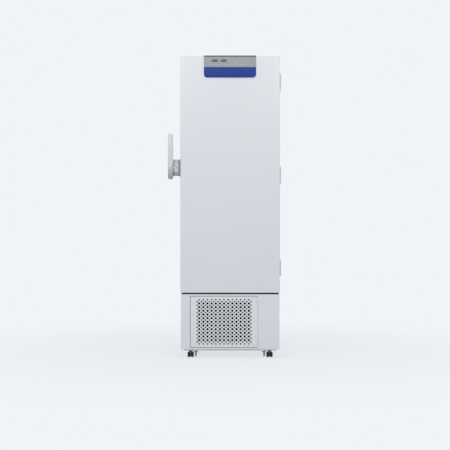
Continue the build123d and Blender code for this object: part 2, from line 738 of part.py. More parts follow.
def fan_motor():
    """Motor on a post that stands on the tray."""
    front = FAN_FRONT_Y + 12
    can = rod_y(MOTOR_RADIUS, FAN_X, (front, front + MOTOR_LENGTH), FAN_Z)
    shaft_span = (FAN_FRONT_Y - 12, front + 1)
    shaft = rod_y(FAN_SHAFT_RADIUS, FAN_X, shaft_span, FAN_Z, PIN_SIDES)
    middle = front + MOTOR_LENGTH / 2
    post = block(
        (FAN_X - MOTOR_POST / 2, FAN_X + MOTOR_POST / 2), (middle - 12, middle + 12), (TRAY_Z, FAN_Z)
    )
    return can + shaft + post


def compressor(x, height):
    """Welded hermetic can on a base plate with four rubber feet."""
    y, r = COMPRESSOR_Y, COMPRESSOR_RADIUS
    low, top = TRAY_Z + COMPRESSOR_FOOT, TRAY_Z + height
    outline = [
        (0, low),
        (r - 14, low),
        (r, low + 24),
        (r, top - 50),
        (r - 22, top - 14),
        (r - 58, top),
        (0, top),
    ]
    body = turned(outline, x, y)
    body += block((x - r - 6, x + r + 6), (y - r + 8, y + r - 8), (low - 4, low + 4))
    for foot_x in (x - r + 12, x + r - 12):
        for foot_y in (y - r + 26, y + r - 26):
            body += block(
                (foot_x - 10, foot_x + 10), (foot_y - 10, foot_y + 10), (TRAY_Z, low - 3)
            )
    return body


def oil_separator():
    top = TRAY_Z + SEPARATOR_HEIGHT
    outline = [
        (0, TRAY_Z),
        (SEPARATOR_RADIUS, TRAY_Z),
        (SEPARATOR_RADIUS, top - 20),
        (SEPARATOR_NECK, top),
        (0, top),
    ]
    return turned(outline, 0, SEPARATOR_Y)


def refrigerant_lines():
    """Transfer line between the compressors, and the separator's line to the exchanger."""
    side, y = COMPRESSOR_X, COMPRESSOR_Y
    high, low = TRAY_Z + HIGH_STAGE_HEIGHT, TRAY_Z + LOW_STAGE_HEIGHT
    run = high + LINE_RISE
    transfer = [(-side, y, high), (-side, y, run), (side, y, run), (side, y, low)]
    top = TRAY_Z + SEPARATOR_HEIGHT
    discharge = [(0, SEPARATOR_Y, top), (0, SEPARATOR_Y, run), (EXCHANGER_RIGHT_X, SEPARATOR_Y, run)]
    return [tube_path(points, LINE_RADIUS) for points in (transfer, discharge)]


def cascade_exchanger():
    """Insulated plate exchanger hung under the compartment's roof."""
    return block(
        (EXCHANGER_LEFT_X, EXCHANGER_RIGHT_X),
        (EXCHANGER_REAR_Y - EXCHANGER_DEPTH, EXCHANGER_REAR_Y),
        (ROOF_Z - EXCHANGER_HEIGHT, ROOF_Z),
    )


def control_box():
    """Electrics box on the tray, with an overhanging lid on its front."""
    left, right = CONTROL_BOX_LEFT_X, CONTROL_BOX_RIGHT_X
    rear, edge = CONTROL_BOX_REAR_Y, CONTROL_LID_EDGE
    front = rear - CONTROL_BOX_DEPTH
    top = TRAY_Z + CONTROL_BOX_HEIGHT
    body = block((left, right), (front, rear), (TRAY_Z, top))
    lid = block((left - edge, right + edge), (front - CONTROL_LID, front), (TRAY_Z, top + edge))
    return body + lid


def service_panel():
    """Removable rear sheet with a stack of louvre slots."""
    half = inner_half_width()
    rear = CABINET_REAR_Y
    sheet = block((-half, half), (rear - SHEET, rear), (FASCIA_BOTTOM_Z, FASCIA_TOP_Z))
    for i in range(LOUVRE_COUNT):
        z = LOUVRE_BOTTOM_Z + LOUVRE_PITCH * i
        slot_x = (-LOUVRE_HALF_WIDTH, LOUVRE_HALF_WIDTH)
        sheet -= block(slot_x, (rear - 5, rear + 5), (z, z + LOUVRE_HEIGHT))
    return sheet


def power_inlet():
    """Mains inlet with three flat pins in its mouth."""
    x, y, z = INLET_CENTRE_X, CABINET_REAR_Y, INLET_CENTRE_Z
    floor = y + INLET_FLOOR

    def around(size, depth):
        return block((x - size[0] / 2, x + size[0] / 2), depth, (z - size[1] / 2, z + size[1] / 2))

    inlet = around(INLET_SIZE, (y, y + INLET_DEPTH))
    inlet -= around(INLET_MOUTH, (floor, y + INLET_DEPTH + 1))
    half_pin, half_height = INLET_PIN_SIZE[0] / 2, INLET_PIN_SIZE[1] / 2
    for step in (-1, 0, 1):
        pin_x = x + step * INLET_PIN_PITCH
        inlet += block(
            (pin_x - half_pin, pin_x + half_pin),
            (floor, floor + INLET_PIN_LENGTH),
            (z - half_height, z + half_height),
        )
    return inlet


def rear_spacers():
    """Four blocks that keep the back clear of a wall."""
    y, half = CABINET_REAR_Y, SPACER_WIDTH / 2
    return [
        block((x - half, x + half), (y, y + SPACER_DEPTH), (z, z + SPACER_HEIGHT))
        for x in (-SPACER_X, SPACER_X)
        for z in (SPACER_LOW_Z, SPACER_HIGH_Z)
    ]


# Door
def door_skin():
    """Folded outer pan with softened front edges."""
    half = DOOR_HALF_WIDTH
    outer = block((-half, half), (0, DOOR_DEPTH), (DOOR_BOTTOM_Z, TOP_Z))
    outer = chamfer(outer.edges().group_by(Axis.Y)[0], DOOR_SOFT_EDGE)
    wall = DOOR_WALL
    inner = block(
        (-half + wall, half - wall), (wall, DOOR_DEPTH + 1), (DOOR_BOTTOM_Z + wall, TOP_Z - wall)
    )
    inner = chamfer(inner.edges().group_by(Axis.Y)[0], DOOR_SOFT_EDGE)
    return outer - inner


def door_inner_spans():
    wall = DOOR_WALL
    return (
        (-DOOR_HALF_WIDTH + wall, DOOR_HALF_WIDTH - wall),
        (DOOR_BOTTOM_Z + wall, TOP_Z - wall),
    )


def plug_spans(inset):
    """Width and height of the raised part of the door that enters the cabinet's opening."""
    gap = PLUG_GAP + inset
    return (
        (-CHAMBER_HALF_WIDTH + gap, CHAMBER_HALF_WIDTH - gap),
        (CHAMBER_BOTTOM_Z + gap, CHAMBER_TOP_Z - gap),
    )


def door_insulation():
    x, z = door_inner_spans()
    back = DOOR_DEPTH - DOOR_BACK_SHEET
    slab = block(x, (DOOR_WALL, back), z)
    slab = chamfer(slab.edges().group_by(Axis.Y)[0], DOOR_SOFT_EDGE)
    plug_x, plug_z = plug_spans(DOOR_BACK_SHEET)
    plug_end = CABINET_FRONT_Y + PLUG_DEPTH - DOOR_BACK_SHEET
    return slab + block(plug_x, (back, plug_end), plug_z)


def door_liner():
    x, z = door_inner_spans()
    plug_x, plug_z = plug_spans(0)
    hollow_x, hollow_z = plug_spans(DOOR_BACK_SHEET)
    back, end = DOOR_DEPTH - DOOR_BACK_SHEET, CABINET_FRONT_Y + PLUG_DEPTH
    plate = block(x, (back, DOOR_DEPTH), z)
    plug = block(plug_x, (back, end), plug_z)
    hollow = block(hollow_x, (back - 1, end - DOOR_BACK_SHEET), hollow_z)
    return plate + plug - hollow


def door_gasket():
    """Base strip and magnetic bulb of the seal, mitred into one ring."""
    half = DOOR_HALF_WIDTH - GASKET_INSET
    low, high = DOOR_BOTTOM_Z + GASKET_INSET, TOP_Z - GASKET_INSET
    foot, step = DOOR_DEPTH + GASKET_FOOT, GASKET_FOOT
    base_width = GASKET_WIDTH - 2 * step
    base = ring((-half + step, half - step), (low + step, high - step), (DOOR_DEPTH, foot), base_width)
    bulb = ring((-half, half), (low, high), (foot, CABINET_FRONT_Y - SEAT_GAP), GASKET_WIDTH)
    return base + bulb


def hinge_leaves_cabinet():
    leaves = []
    half = HINGE_HEIGHT / 2
    for z in HINGE_BOTTOMS_Z:
        leaf_x = (CABINET_HALF_WIDTH, CABINET_HALF_WIDTH + HINGE_LEAF_THICKNESS)
        leaf = block(leaf_x, (HINGE_Y, HINGE_Y + HINGE_LEAF_LENGTH), (z, z + half))
        leaf += rod_z(KNUCKLE_RADIUS, HINGE_X, HINGE_Y, (z, z + half))
        pin_span = (z + half, z + HINGE_HEIGHT - 8)
        leaf += rod_z(HINGE_PIN_RADIUS, HINGE_X, HINGE_Y, pin_span, PIN_SIDES)
        leaves.append(leaf)
    return leaves


def hinge_leaves_door():
    leaves = []
    half = HINGE_HEIGHT / 2
    for z in HINGE_BOTTOMS_Z:
        span = (z + half + SEAT_GAP, z + HINGE_HEIGHT)
        leaf_x = (DOOR_HALF_WIDTH, DOOR_HALF_WIDTH + HINGE_LEAF_THICKNESS)
        leaf = block(leaf_x, (HINGE_Y - HINGE_LEAF_LENGTH, HINGE_Y), span)
        leaf += rod_z(KNUCKLE_RADIUS, HINGE_X, HINGE_Y, span)
        bore_span = (z + half, z + HINGE_HEIGHT - 6)
        bore = clear_of(HINGE_PIN_RADIUS, PIN_SIDES)
        leaf -= rod_z(bore, HINGE_X, HINGE_Y, bore_span, PIN_SIDES)
        leaves.append(leaf)
    return leaves


def panel_overlay():
    """Grey control housing, flush with the door's top, pocketed for displays and keys."""
    housing = block((PANEL_LEFT_X, PANEL_RIGHT_X), (-PANEL_DEPTH, 0), (PANEL_SPLIT_Z, TOP_Z))
    for x in DISPLAY_CENTRES_X:
        w, h = DISPLAY_SIZE[0] / 2, DISPLAY_SIZE[1] / 2
        housing -= block(
            (x - w, x + w), (-PANEL_DEPTH - 1, -PANEL_DEPTH + 2), (DISPLAY_Z - h, DISPLAY_Z + h)
        )
    for x in KEY_CENTRES_X:
        w, h = KEY_SIZE[0] / 2 + KEY_CLEARANCE, KEY_SIZE[1] / 2 + KEY_CLEARANCE
        housing -= block((x - w, x + w), (-PANEL_DEPTH - 1, -0.8), (KEY_Z - h, KEY_Z + h))
    return housing


def accent_band():
    """Blue band under the housing, its lower corners cut back in three steps."""
    corner = []
    for step in range(4):
        angle = radians(90 / 3 * step)
        corner.append((PANEL_CORNER * (1 - cos(angle)), PANEL_CORNER * (1 - sin(angle))))
    left = [(PANEL_LEFT_X + dx, PANEL_BOTTOM_Z + dz) for dx, dz in corner]
    right = [(PANEL_RIGHT_X - dx, PANEL_BOTTOM_Z + dz) for dx, dz in reversed(corner)]
    outline = [(PANEL_LEFT_X, PANEL_SPLIT_Z)] + left + right + [(PANEL_RIGHT_X, PANEL_SPLIT_Z)]
    return across_y(outline, (-PANEL_DEPTH, 0))


def display_windows():
    w, h = DISPLAY_SIZE[0] / 2, DISPLAY_SIZE[1] / 2
    return [
        block((x - w, x + w), (-PANEL_DEPTH + 0.2, -PANEL_DEPTH + 2), (DISPLAY_Z - h, DISPLAY_Z + h))
        for x in DISPLAY_CENTRES_X
    ]


def control_key(x):
    w, h = KEY_SIZE[0] / 2, KEY_SIZE[1] / 2
    front = -PANEL_DEPTH - KEY_PROUD
    return block((x - w, x + w), (front, front + KEY_DEPTH), (KEY_Z - h, KEY_Z + h))


# Latch
def latch_block():
    """Housing on the door's edge: base flange, sloped nose, hook slot, shaft and lock bores."""
    inner_x = -DOOR_HALF_WIDTH
    outline = [
        (24, BLOCK_BOTTOM_Z),
        (8, BLOCK_BOTTOM_Z + 30),
        (8, BLOCK_TOP_Z - 28),
        (16, BLOCK_TOP_Z - 24),
        (26, BLOCK_TOP_Z),
        (BLOCK_REAR_Y, BLOCK_TOP_Z),
        (BLOCK_REAR_Y, BLOCK_BOTTOM_Z),
    ]
    body = across_x(outline, (BLOCK_OUTER_X, inner_x))
    flange = block(
        (inner_x - 4, inner_x), (12, BLOCK_REAR_Y + 2), (BLOCK_BOTTOM_Z - 7, BLOCK_TOP_Z + 7)
    )
    slot = block(
        (HOOK_X[0] - 1, HOOK_X[1] + 1), (36, BLOCK_REAR_Y + 3), (BLOCK_BOTTOM_Z + 6, BLOCK_TOP_Z + 1)
    )
    shaft_bore = rod_x(
        SHAFT_RADIUS + RUNNING, (BLOCK_OUTER_X - 1, inner_x - 5), PIVOT_Y, PIVOT_Z
    )
    lock_bore = rod_y(LOCK_RADIUS + RUNNING, LOCK_X, (5, 30), LOCK_Z)
    return body + flange - slot - shaft_bore - lock_bore


def lock_cylinder():
    plug = rod_y(LOCK_RADIUS, LOCK_X, (5.5, 29.5), LOCK_Z)
    keyway = block((LOCK_X - 0.9, LOCK_X + 0.9), (5, 17), (LOCK_Z - 4, LOCK_Z + 4))
    return plug - keyway


def handle_lever():
    """Grip, hub and shaft in one casting, shaped by its side, plan and front outlines."""
    outer, inner = LEVER_OUTER_X, LEVER_INNER_X
    front, low, high = LEVER_FRONT_Y, LEVER_BOTTOM_Z, LEVER_TOP_Z
    side = [
        (front + 8, low),
        (front, low + 18),
        (front, high - 12),
        (front + 6, high),
        (front + 20, high),
        (front + 25, high - 8),
        (front + 25, PIVOT_Z + 66),
        (front + 34, PIVOT_Z + 42),
        (PIVOT_Y - 4, PIVOT_Z + 26),
        (PIVOT_Y + 16, PIVOT_Z + 16),
        (PIVOT_Y + 20, PIVOT_Z),
        (PIVOT_Y + 14, PIVOT_Z - 16),
        (PIVOT_Y - 2, PIVOT_Z - 22),
        (front + 34, low + 10),
        (front + 22, low),
    ]
    plan = [
        (outer, PIVOT_Y + 40),
        (outer, front + 4),
        (outer + 4, front),
        (inner - 7, front),
        (inner, front + 9),
        (inner, PIVOT_Y + 40),
    ]
    face = [
        (outer + 6, low - 1),
        (outer, low + 10),
        (outer, high - 24),
        (outer + 6, high + 1),
        (inner - 4, high + 1),
        (inner, high - 24),
        (inner, low + 10),
        (inner - 6, low - 1),
    ]
    lever = across_x(side, (outer, inner))
    lever &= across_z(plan, (low - 1, high + 1))
    lever &= across_y(face, (front - 1, PIVOT_Y + 40))
    return lever + rod_x(SHAFT_RADIUS, (inner - 1, -DOOR_HALF_WIDTH - 6), PIVOT_Y, PIVOT_Z)


def latch_hook():
    """Claw that comes down behind the keeper's pin as the lever closes."""
    inner = HOOK_REACH + KEEPER_PIN_RADIUS + HOOK_CLEARANCE
    outer = inner + 12

    def polar(angle, radius):
        return (
            PIVOT_Y + radius * cos(radians(angle)),
            PIVOT_Z + radius * sin(radians(angle)),
        )

    outline = [polar(10, 14), polar(27, inner), polar(16, inner), polar(6, inner)]
    outline += [polar(6, outer), polar(18, outer), polar(30, outer), polar(41, outer - 3)]
    outline += [polar(75, 14), polar(140, 14)]
    arm = across_x(outline, HOOK_X)
    hub = rod_x(14, HOOK_X, PIVOT_Y, PIVOT_Z)
    bore = SHAFT_RADIUS + RUNNING
    return arm + hub - rod_x(bore, (HOOK_X[0] - 1, HOOK_X[1] + 1), PIVOT_Y, PIVOT_Z)


def latch_keeper():
    wall = -CABINET_HALF_WIDTH
    plate = block(
        (wall - 4, wall),
        (KEEPER_PIN_Y - 14, KEEPER_PIN_Y - 14 + KEEPER_LENGTH),
        (PIVOT_Z - KEEPER_HALF_HEIGHT, PIVOT_Z + KEEPER_HALF_HEIGHT),
    )
    pin = rod_x(KEEPER_PIN_RADIUS, (HOOK_X[0] - 5.5, wall - 3), KEEPER_PIN_Y, PIVOT_Z)
    return plate + pin


# Inner doors
def inner_door(low, high):
    """Foam-cored inner door with a raised middle and a finger catch."""
    half = CHAMBER_HALF_WIDTH - INNER_DOOR_GAP
    front = INNER_DOOR_FRONT_Y
    slab = block((-half, half), (front, front + INNER_DOOR_DEPTH), (low, high))
    recess = block(
        (-half + 40, half - 40), (front - 1, front + 3), (low + 40, high - 40)
    )
    middle = (low + high) / 2
    catch = block((-half + 8, -half + 30), (front - 6, front), (middle - 30, middle + 30))
    reach = INNER_DOOR_GAP - SEAT_GAP
    inset = INNER_PIN_INSET
    pin_span = (low - reach, high + reach)
    pins = rod_z(INNER_PIN_RADIUS, half - inset, front + inset, pin_span)
    return slab - recess + catch + pins


def inner_door_spans():
    middle = (CHAMBER_BOTTOM_Z + CHAMBER_TOP_Z) / 2
    gap = INNER_DOOR_GAP
    return (
        (CHAMBER_BOTTOM_Z + gap, middle - gap),
        (middle + gap, CHAMBER_TOP_Z - gap),
    )


# Castors and feet
def axle_z():
    return WHEEL_RADIUS + WHEEL_CLEAR_FLOOR


def castor_yoke(x, y):
    """Cap over the wheels, web between them, swivel stem and axle."""
    low = axle_z()
    axle_y = y - CASTOR_TRAIL
    top = CHASSIS_BOTTOM_Z - 1.5
    web = [
        (axle_y - 8, low - 8),
        (axle_y - 12, low + 6),
        (axle_y - 8, low + 19),
        (y + 12, top),
        (y + 12, low + 14),
        (axle_y + 10, low - 6),
    ]
    yoke = across_x(web, (x - 5, x + 5))
    cap = [
        (axle_y - 10, low + 19),
        (axle_y - 4, top - 4),
        (y - 8, top),
        (y + 13, top),
        (y + 13, low + 19),
    ]
    yoke += across_x(cap, (x - YOKE_HALF_WIDTH, x + YOKE_HALF_WIDTH))
    yoke += rod_z(STEM_RADIUS, x, y, (low + 20, CHASSIS_BOTTOM_Z + 18), PIN_SIDES)
    reach = WHEEL_HALF_WIDTH - 1
    return yoke + rod_x(AXLE_RADIUS, (x - reach, x + reach), axle_y, low, PIN_SIDES)


def castor_wheels(x, y):
    """The two wheels of a twin castor, one each side of the web."""
    wheels = []
    axle_y = y - CASTOR_TRAIL
    for side in (-1, 1):
        near, far = side * 5.5, side * WHEEL_HALF_WIDTH
        span = (x + min(near, far), x + max(near, far))
        tyre = rod_x(WHEEL_RADIUS, span, axle_y, axle_z(), WHEEL_SIDES)
        bore = clear_of(AXLE_RADIUS, PIN_SIDES)
        wheels.append(tyre - rod_x(bore, (span[0] - 1, span[1] + 1), axle_y, axle_z(), PIN_SIDES))
    return wheels


def foot_pad(x, y):
    pad = rod_z(FOOT_RADIUS, x, y, (0, FOOT_HEIGHT), 2 * PIN_SIDES)
    bore = clear_of(FOOT_SHANK_RADIUS, PIN_SIDES)
    return pad - rod_z(bore, x, y, (6, FOOT_HEIGHT + 1), PIN_SIDES)


def foot_stem(x, y):
    low = rod_z(FOOT_SHANK_RADIUS, x, y, (6 + SEAT_GAP, FOOT_HEIGHT + 3), PIN_SIDES)
    disc = rod_z(FOOT_DISC_RADIUS, x, y, (FOOT_HEIGHT + 2, FOOT_HEIGHT + 7), 2 * PIN_SIDES)
    top = CHASSIS_BOTTOM_Z + 40
    thread = rod_z(FOOT_THREAD_RADIUS, x, y, (FOOT_HEIGHT + 6, top), PIN_SIDES)
    return low + disc + thread


def solids_of(shape):
    """The plain solids of one sub-part, whether it came as a shape or a list of shapes."""
    shapes = shape if isinstance(shape, list) else [shape]
    return [solid for item in shapes for solid in item.solids()]


def save(name, shape):
    moved = [Pos(SHIFT_X, SHIFT_Y, 0) * solid for solid in solids_of(shape)]
    node = moved[0] if len(moved) == 1 else Compound(children=moved)
    node.label = name
    export_step(node, f"parts/{name}.step")


def build():
    """Every sub-part by name."""
    nodes = {
        "side_panels": side_panels(),
        "top_panel": top_panel(),
        "rear_panel": rear_panel(),
        "cabinet_insulation": cabinet_insulation(),
        "inner_liner": inner_liner(),
        "breaker_frame": breaker_frame(),
        "evaporator_coil": evaporator_coil(),
        "shelf_rails": shelf_rails(),
        "shelves": shelves(),
        "access_port": access_port(),
        "chassis_tray": chassis_tray(),
        "compartment_roof": compartment_roof(),
        "lower_fascia": lower_fascia(),
        "filter_door": filter_door(),
        "filter_mesh": filter_mesh(),
        "condenser": condenser(),
        "fan_shroud": fan_shroud(),
        "fan_motor": fan_motor(),
        "fan_blades": fan_blades(),
        "high_stage_compressor": compressor(-COMPRESSOR_X, HIGH_STAGE_HEIGHT),
        "low_stage_compressor": compressor(COMPRESSOR_X, LOW_STAGE_HEIGHT),
        "oil_separator": oil_separator(),
        "refrigerant_lines": refrigerant_lines(),
        "cascade_exchanger": cascade_exchanger(),
        "control_box": control_box(),
        "service_panel": service_panel(),
        "power_inlet": power_inlet(),
        "rear_spacers": rear_spacers(),
        "door_skin": door_skin(),
        "door_insulation": door_insulation(),
        "door_liner": door_liner(),
        "door_gasket": door_gasket(),
        "hinge_leaves_cabinet": hinge_leaves_cabinet(),
        "hinge_leaves_door": hinge_leaves_door(),
        "panel_overlay": panel_overlay(),
        "accent_band": accent_band(),
        "display_windows": display_windows(),
        "latch_block": latch_block(),
        "lock_cylinder": lock_cylinder(),
        "handle_lever": handle_lever(),
        "latch_hook": latch_hook(),
        "latch_keeper": latch_keeper(),
    }
    for i, x in enumerate(KEY_CENTRES_X):
        nodes[f"control_key_{i + 1}"] = control_key(x)
    for name, (low, high) in zip(("lower", "upper"), inner_door_spans()):
        nodes[f"inner_door_{name}"] = inner_door(low, high)
    corners = ("front_left", "front_right", "rear_left", "rear_right")
    for corner, (x, y) in zip(corners, castor_places()):
        nodes[f"castor_yoke_{corner}"] = castor_yoke(x, y)
        nodes[f"castor_wheels_{corner}"] = castor_wheels(x, y)
    for side, (x, y) in zip(("left", "right"), foot_places()):
        nodes[f"foot_pad_{side}"] = foot_pad(x, y)
        nodes[f"foot_stem_{side}"] = foot_stem(x, y)
    return nodes


for node_name, node_shape in build().items():
    save(node_name, node_shape)
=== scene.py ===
import json
import math

import bmesh
import bpy
from mathutils import Matrix, Vector


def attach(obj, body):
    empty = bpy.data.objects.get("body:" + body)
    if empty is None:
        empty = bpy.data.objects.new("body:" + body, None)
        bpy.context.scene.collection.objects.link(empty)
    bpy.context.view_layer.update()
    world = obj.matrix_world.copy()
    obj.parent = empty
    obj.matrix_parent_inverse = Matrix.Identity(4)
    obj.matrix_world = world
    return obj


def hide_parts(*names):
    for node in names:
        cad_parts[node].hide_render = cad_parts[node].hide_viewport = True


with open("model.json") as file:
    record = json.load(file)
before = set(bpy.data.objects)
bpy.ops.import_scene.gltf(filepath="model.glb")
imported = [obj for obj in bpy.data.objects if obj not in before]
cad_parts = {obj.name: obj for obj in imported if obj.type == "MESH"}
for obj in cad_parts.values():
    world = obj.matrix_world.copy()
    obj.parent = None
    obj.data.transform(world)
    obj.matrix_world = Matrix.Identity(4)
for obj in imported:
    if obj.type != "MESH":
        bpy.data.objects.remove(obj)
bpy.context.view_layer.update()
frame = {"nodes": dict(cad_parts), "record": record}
nodes = frame["nodes"]

# Cabinet coordinates, in millimetres: x from the cabinet's middle, y back from the door's face,
# z up from the floor. They move to the row frame with these shifts, in metres.
SHIFT = Vector((0.03395, -0.429, 0.0))
MM = 0.001

CABINET_HALF, DOOR_HALF = 325.5, 328.5
DOOR_LOW, TOP, REAR = 434.0, 2000.0, 850.0


def at(x, y, z):
    return Vector((x, y, z)) * MM + SHIFT


# Finishes
def linear(r, g, b):
    """An sRGB colour, 0 to 255, as linear values."""
    values = []
    for c in (r, g, b):
        c = c / 255
        values.append(c / 12.92 if c <= 0.04045 else ((c + 0.055) / 1.055) ** 2.4)
    return (*values, 1.0)


def shade_of(colour, factor):
    return tuple(min(1.0, c * factor) for c in colour[:3]) + (1.0,)


class Nodes:
    """Small helper that adds and wires shader nodes of one material."""

    def __init__(self, name):
        self.material = bpy.data.materials.new(name)
        self.material.use_nodes = True
        self.tree = self.material.node_tree
        self.tree.nodes.clear()
        self.where = self.add("ShaderNodeTexCoord").outputs["Object"]

    def add(self, kind, **settings):
        node = self.tree.nodes.new(kind)
        for key, value in settings.items():
            setattr(node, key, value)
        return node

    def join(self, source, target):
        self.tree.links.new(source, target)

    def stretched(self, scale):
        node = self.add("ShaderNodeMapping")
        node.inputs["Scale"].default_value = scale
        self.join(self.where, node.inputs["Vector"])
        return node.outputs["Vector"]

    def noise(self, scale, detail=3.0, rough=0.55, vector=None):
        node = self.add("ShaderNodeTexNoise")
        node.inputs["Scale"].default_value = scale
        node.inputs["Detail"].default_value = detail
        node.inputs["Roughness"].default_value = rough
        self.join(vector or self.where, node.inputs["Vector"])
        return node.outputs["Fac"]

    def cells(self, scale):
        node = self.add("ShaderNodeTexVoronoi")
        node.inputs["Scale"].default_value = scale
        self.join(self.where, node.inputs["Vector"])
        return node.outputs

    def band(self, value, low, high, to_low=0.0, to_high=1.0):
        node = self.add("ShaderNodeMapRange")
        node.inputs["From Min"].default_value = low
        node.inputs["From Max"].default_value = high
        node.inputs["To Min"].default_value = to_low
        node.inputs["To Max"].default_value = to_high
        self.join(value, node.inputs["Value"])
        return node.outputs["Result"]

    def mix(self, factor, first, second):
        node = self.add("ShaderNodeMix", data_type="RGBA")
        self.join(factor, node.inputs["Factor"])
        for value, socket in ((first, node.inputs[6]), (second, node.inputs[7])):
            if isinstance(value, tuple):
                socket.default_value = value
            else:
                self.join(value, socket)
        return node.outputs[2]

    def bump(self, height, strength, distance, under=None):
        node = self.add("ShaderNodeBump")
        node.inputs["Strength"].default_value = strength
        node.inputs["Distance"].default_value = distance
        self.join(height, node.inputs["Height"])
        if under is not None:
            self.join(under, node.inputs["Normal"])
        return node.outputs["Normal"]

    def surface(self, colour, rough, normal, metal=0.0, coat=0.0, specular=0.5):
        shader = self.add("ShaderNodeBsdfPrincipled")
        shader.inputs["Metallic"].default_value = metal
        shader.inputs["Specular IOR Level"].default_value = specular
        shader.inputs["Coat Weight"].default_value = coat
        shader.inputs["Coat Roughness"].default_value = 0.12
        for value, socket in ((colour, "Base Color"), (rough, "Roughness"), (normal, "Normal")):
            if isinstance(value, float):
                shader.inputs[socket].default_value = value
            else:
                self.join(value, shader.inputs[socket])
        out = self.add("ShaderNodeOutputMaterial")
        self.join(shader.outputs["BSDF"], out.inputs["Surface"])
        return self.material


def paint(name, rgb, rough=0.38, tone=0.02, peel=0.035, coat=0.15, edge=0.0, painted_shade=None):
    """Powder coat: orange peel, slow tone drift, faint rubbed patches, and a painted highlight that
    lightens convex edges.

    The last argument paints shade on a piece low down and on its sides, where less light falls:
    the height in metres where that shade is full, the height where it starts, and the shade low
    down and on the sides.
    """
    n = Nodes(name)
    colour = linear(*rgb)
    slow = n.noise(2.3, 4.0, 0.6)
    tinted = n.mix(slow, shade_of(colour, 1 - tone), shade_of(colour, 1 + tone))
    rubbed = n.band(n.noise(9.0, 8.0, 0.68), 0.56, 0.74)
    tinted = n.mix(n.band(rubbed, 0, 1, 0, 0.3), tinted, shade_of(colour, 1 - 2 * tone))
    # Painted highlight: edges that Pointiness finds convex are mixed towards white
    if edge:
        point = n.add("ShaderNodeNewGeometry").outputs["Pointiness"]
        bright = tuple(c + (1 - c) * edge for c in colour[:3]) + (1.0,)
        tinted = n.mix(n.band(point, 0.52, 0.62), tinted, bright)
    # Painted shade: the colour is multiplied darker below a height and where the normal turns to ±X
    if painted_shade:
        full, start, low_shade, side_shade = painted_shade
        facing = n.add("ShaderNodeTexCoord").outputs["Normal"]
        for source, axis, low, high, shade in (
            (n.where, "Z", start, full, low_shade),
            (facing, "X", 0.1, 0.75, side_shade),
        ):
            parts = n.add("ShaderNodeSeparateXYZ")
            n.join(source, parts.inputs[0])
            size = n.add("ShaderNodeMath", operation="ABSOLUTE")
            n.join(parts.outputs[axis], size.inputs[0])
            dim = n.add("ShaderNodeMix", data_type="RGBA", blend_type="MULTIPLY")
            n.join(n.band(size.outputs[0], low, high), dim.inputs["Factor"])
            n.join(tinted, dim.inputs[6])
            dim.inputs[7].default_value = (shade, shade, shade, 1.0)
            tinted = dim.outputs[2]
    peeled = n.noise(650.0, 2.0, 0.5)
    speck = n.cells(1500.0)["Distance"]
    normal = n.bump(peeled, peel, 0.0006)
    normal = n.bump(speck, peel * 0.5, 0.0002, normal)
    gloss = n.band(n.noise(14.0, 5.0, 0.6), 0.3, 0.7, rough - 0.05, rough + 0.07)
    return n.surface(tinted, gloss, normal, 0.0, coat)


def plastic(name, rgb, rough=0.45, tone=0.03, grain=1400.0, depth=0.08, coat=0.0):
    """Moulded plastic: spark-eroded grain and soft tone drift."""
    n = Nodes(name)
    colour = linear(*rgb)
    tinted = n.mix(n.noise(12.0, 4.0), shade_of(colour, 1 - tone), shade_of(colour, 1 + tone))
    pits = n.cells(grain)["Distance"]
    fine = n.noise(grain * 1.7, 2.0)
    normal = n.bump(pits, depth, 0.0003)
    normal = n.bump(fine, depth * 0.6, 0.0002, normal)
    gloss = n.band(n.noise(30.0, 4.0), 0.3, 0.7, rough - 0.06, rough + 0.08)
    return n.surface(tinted, gloss, normal, 0.0, coat)


def brushed(name, rgb, axis, rough=0.3, tone=0.05):
    """Rolled or brushed metal: long fine scratches along one axis."""
    n = Nodes(name)
    colour = linear(*rgb)
    scale = [420.0, 420.0, 420.0]
    scale[axis] = 4.0
    lines = n.noise(1.0, 5.0, 0.6, n.stretched(tuple(scale)))
    tinted = n.mix(lines, shade_of(colour, 1 - tone), shade_of(colour, 1 + tone))
    smear = n.band(n.noise(6.0, 5.0, 0.6), 0.5, 0.75)
    tinted = n.mix(n.band(smear, 0, 1, 0, 0.35), tinted, shade_of(colour, 0.88))
    gloss = n.band(lines, 0.25, 0.75, rough - 0.08, rough + 0.14)
    return n.surface(tinted, gloss, n.bump(lines, 0.09, 0.0003), 1.0)


def spangled(name, rgb, rough=0.42):
    """Galvanised sheet: flat crystals of slightly different tone and gloss."""
    n = Nodes(name)
    colour = linear(*rgb)
    crystals = n.cells(70.0)["Color"]
    split = n.add("ShaderNodeSeparateColor")
    n.join(crystals, split.inputs["Color"])
    pick = split.outputs["Red"]
    tinted = n.mix(pick, shade_of(colour, 0.82), shade_of(colour, 1.1))
    dull = n.band(n.noise(18.0, 6.0, 0.65), 0.5, 0.72)
    tinted = n.mix(n.band(dull, 0, 1, 0, 0.4), tinted, shade_of(colour, 0.75))
    gloss = n.band(pick, 0, 1, rough - 0.1, rough + 0.15)
    return n.surface(tinted, gloss, n.bump(n.noise(260.0, 3.0), 0.06, 0.0004), 1.0)


def rubber(name, rgb, rough=0.72, dust=0.25):
    """Rubber or soft seal, with a dry bloom of dust."""
    n = Nodes(name)
    colour = linear(*rgb)
    grey = tuple(c + (0.55 - c) * 0.25 for c in colour[:3]) + (1.0,)
    bloom = n.band(n.noise(45.0, 7.0, 0.7), 0.45, 0.75, 0.0, dust)
    tinted = n.mix(bloom, colour, grey)
    normal = n.bump(n.noise(900.0, 3.0), 0.15, 0.0004)
    return n.surface(tinted, n.band(bloom, 0, dust, rough - 0.08, rough + 0.1), normal, 0.0, 0.0, 0.35)


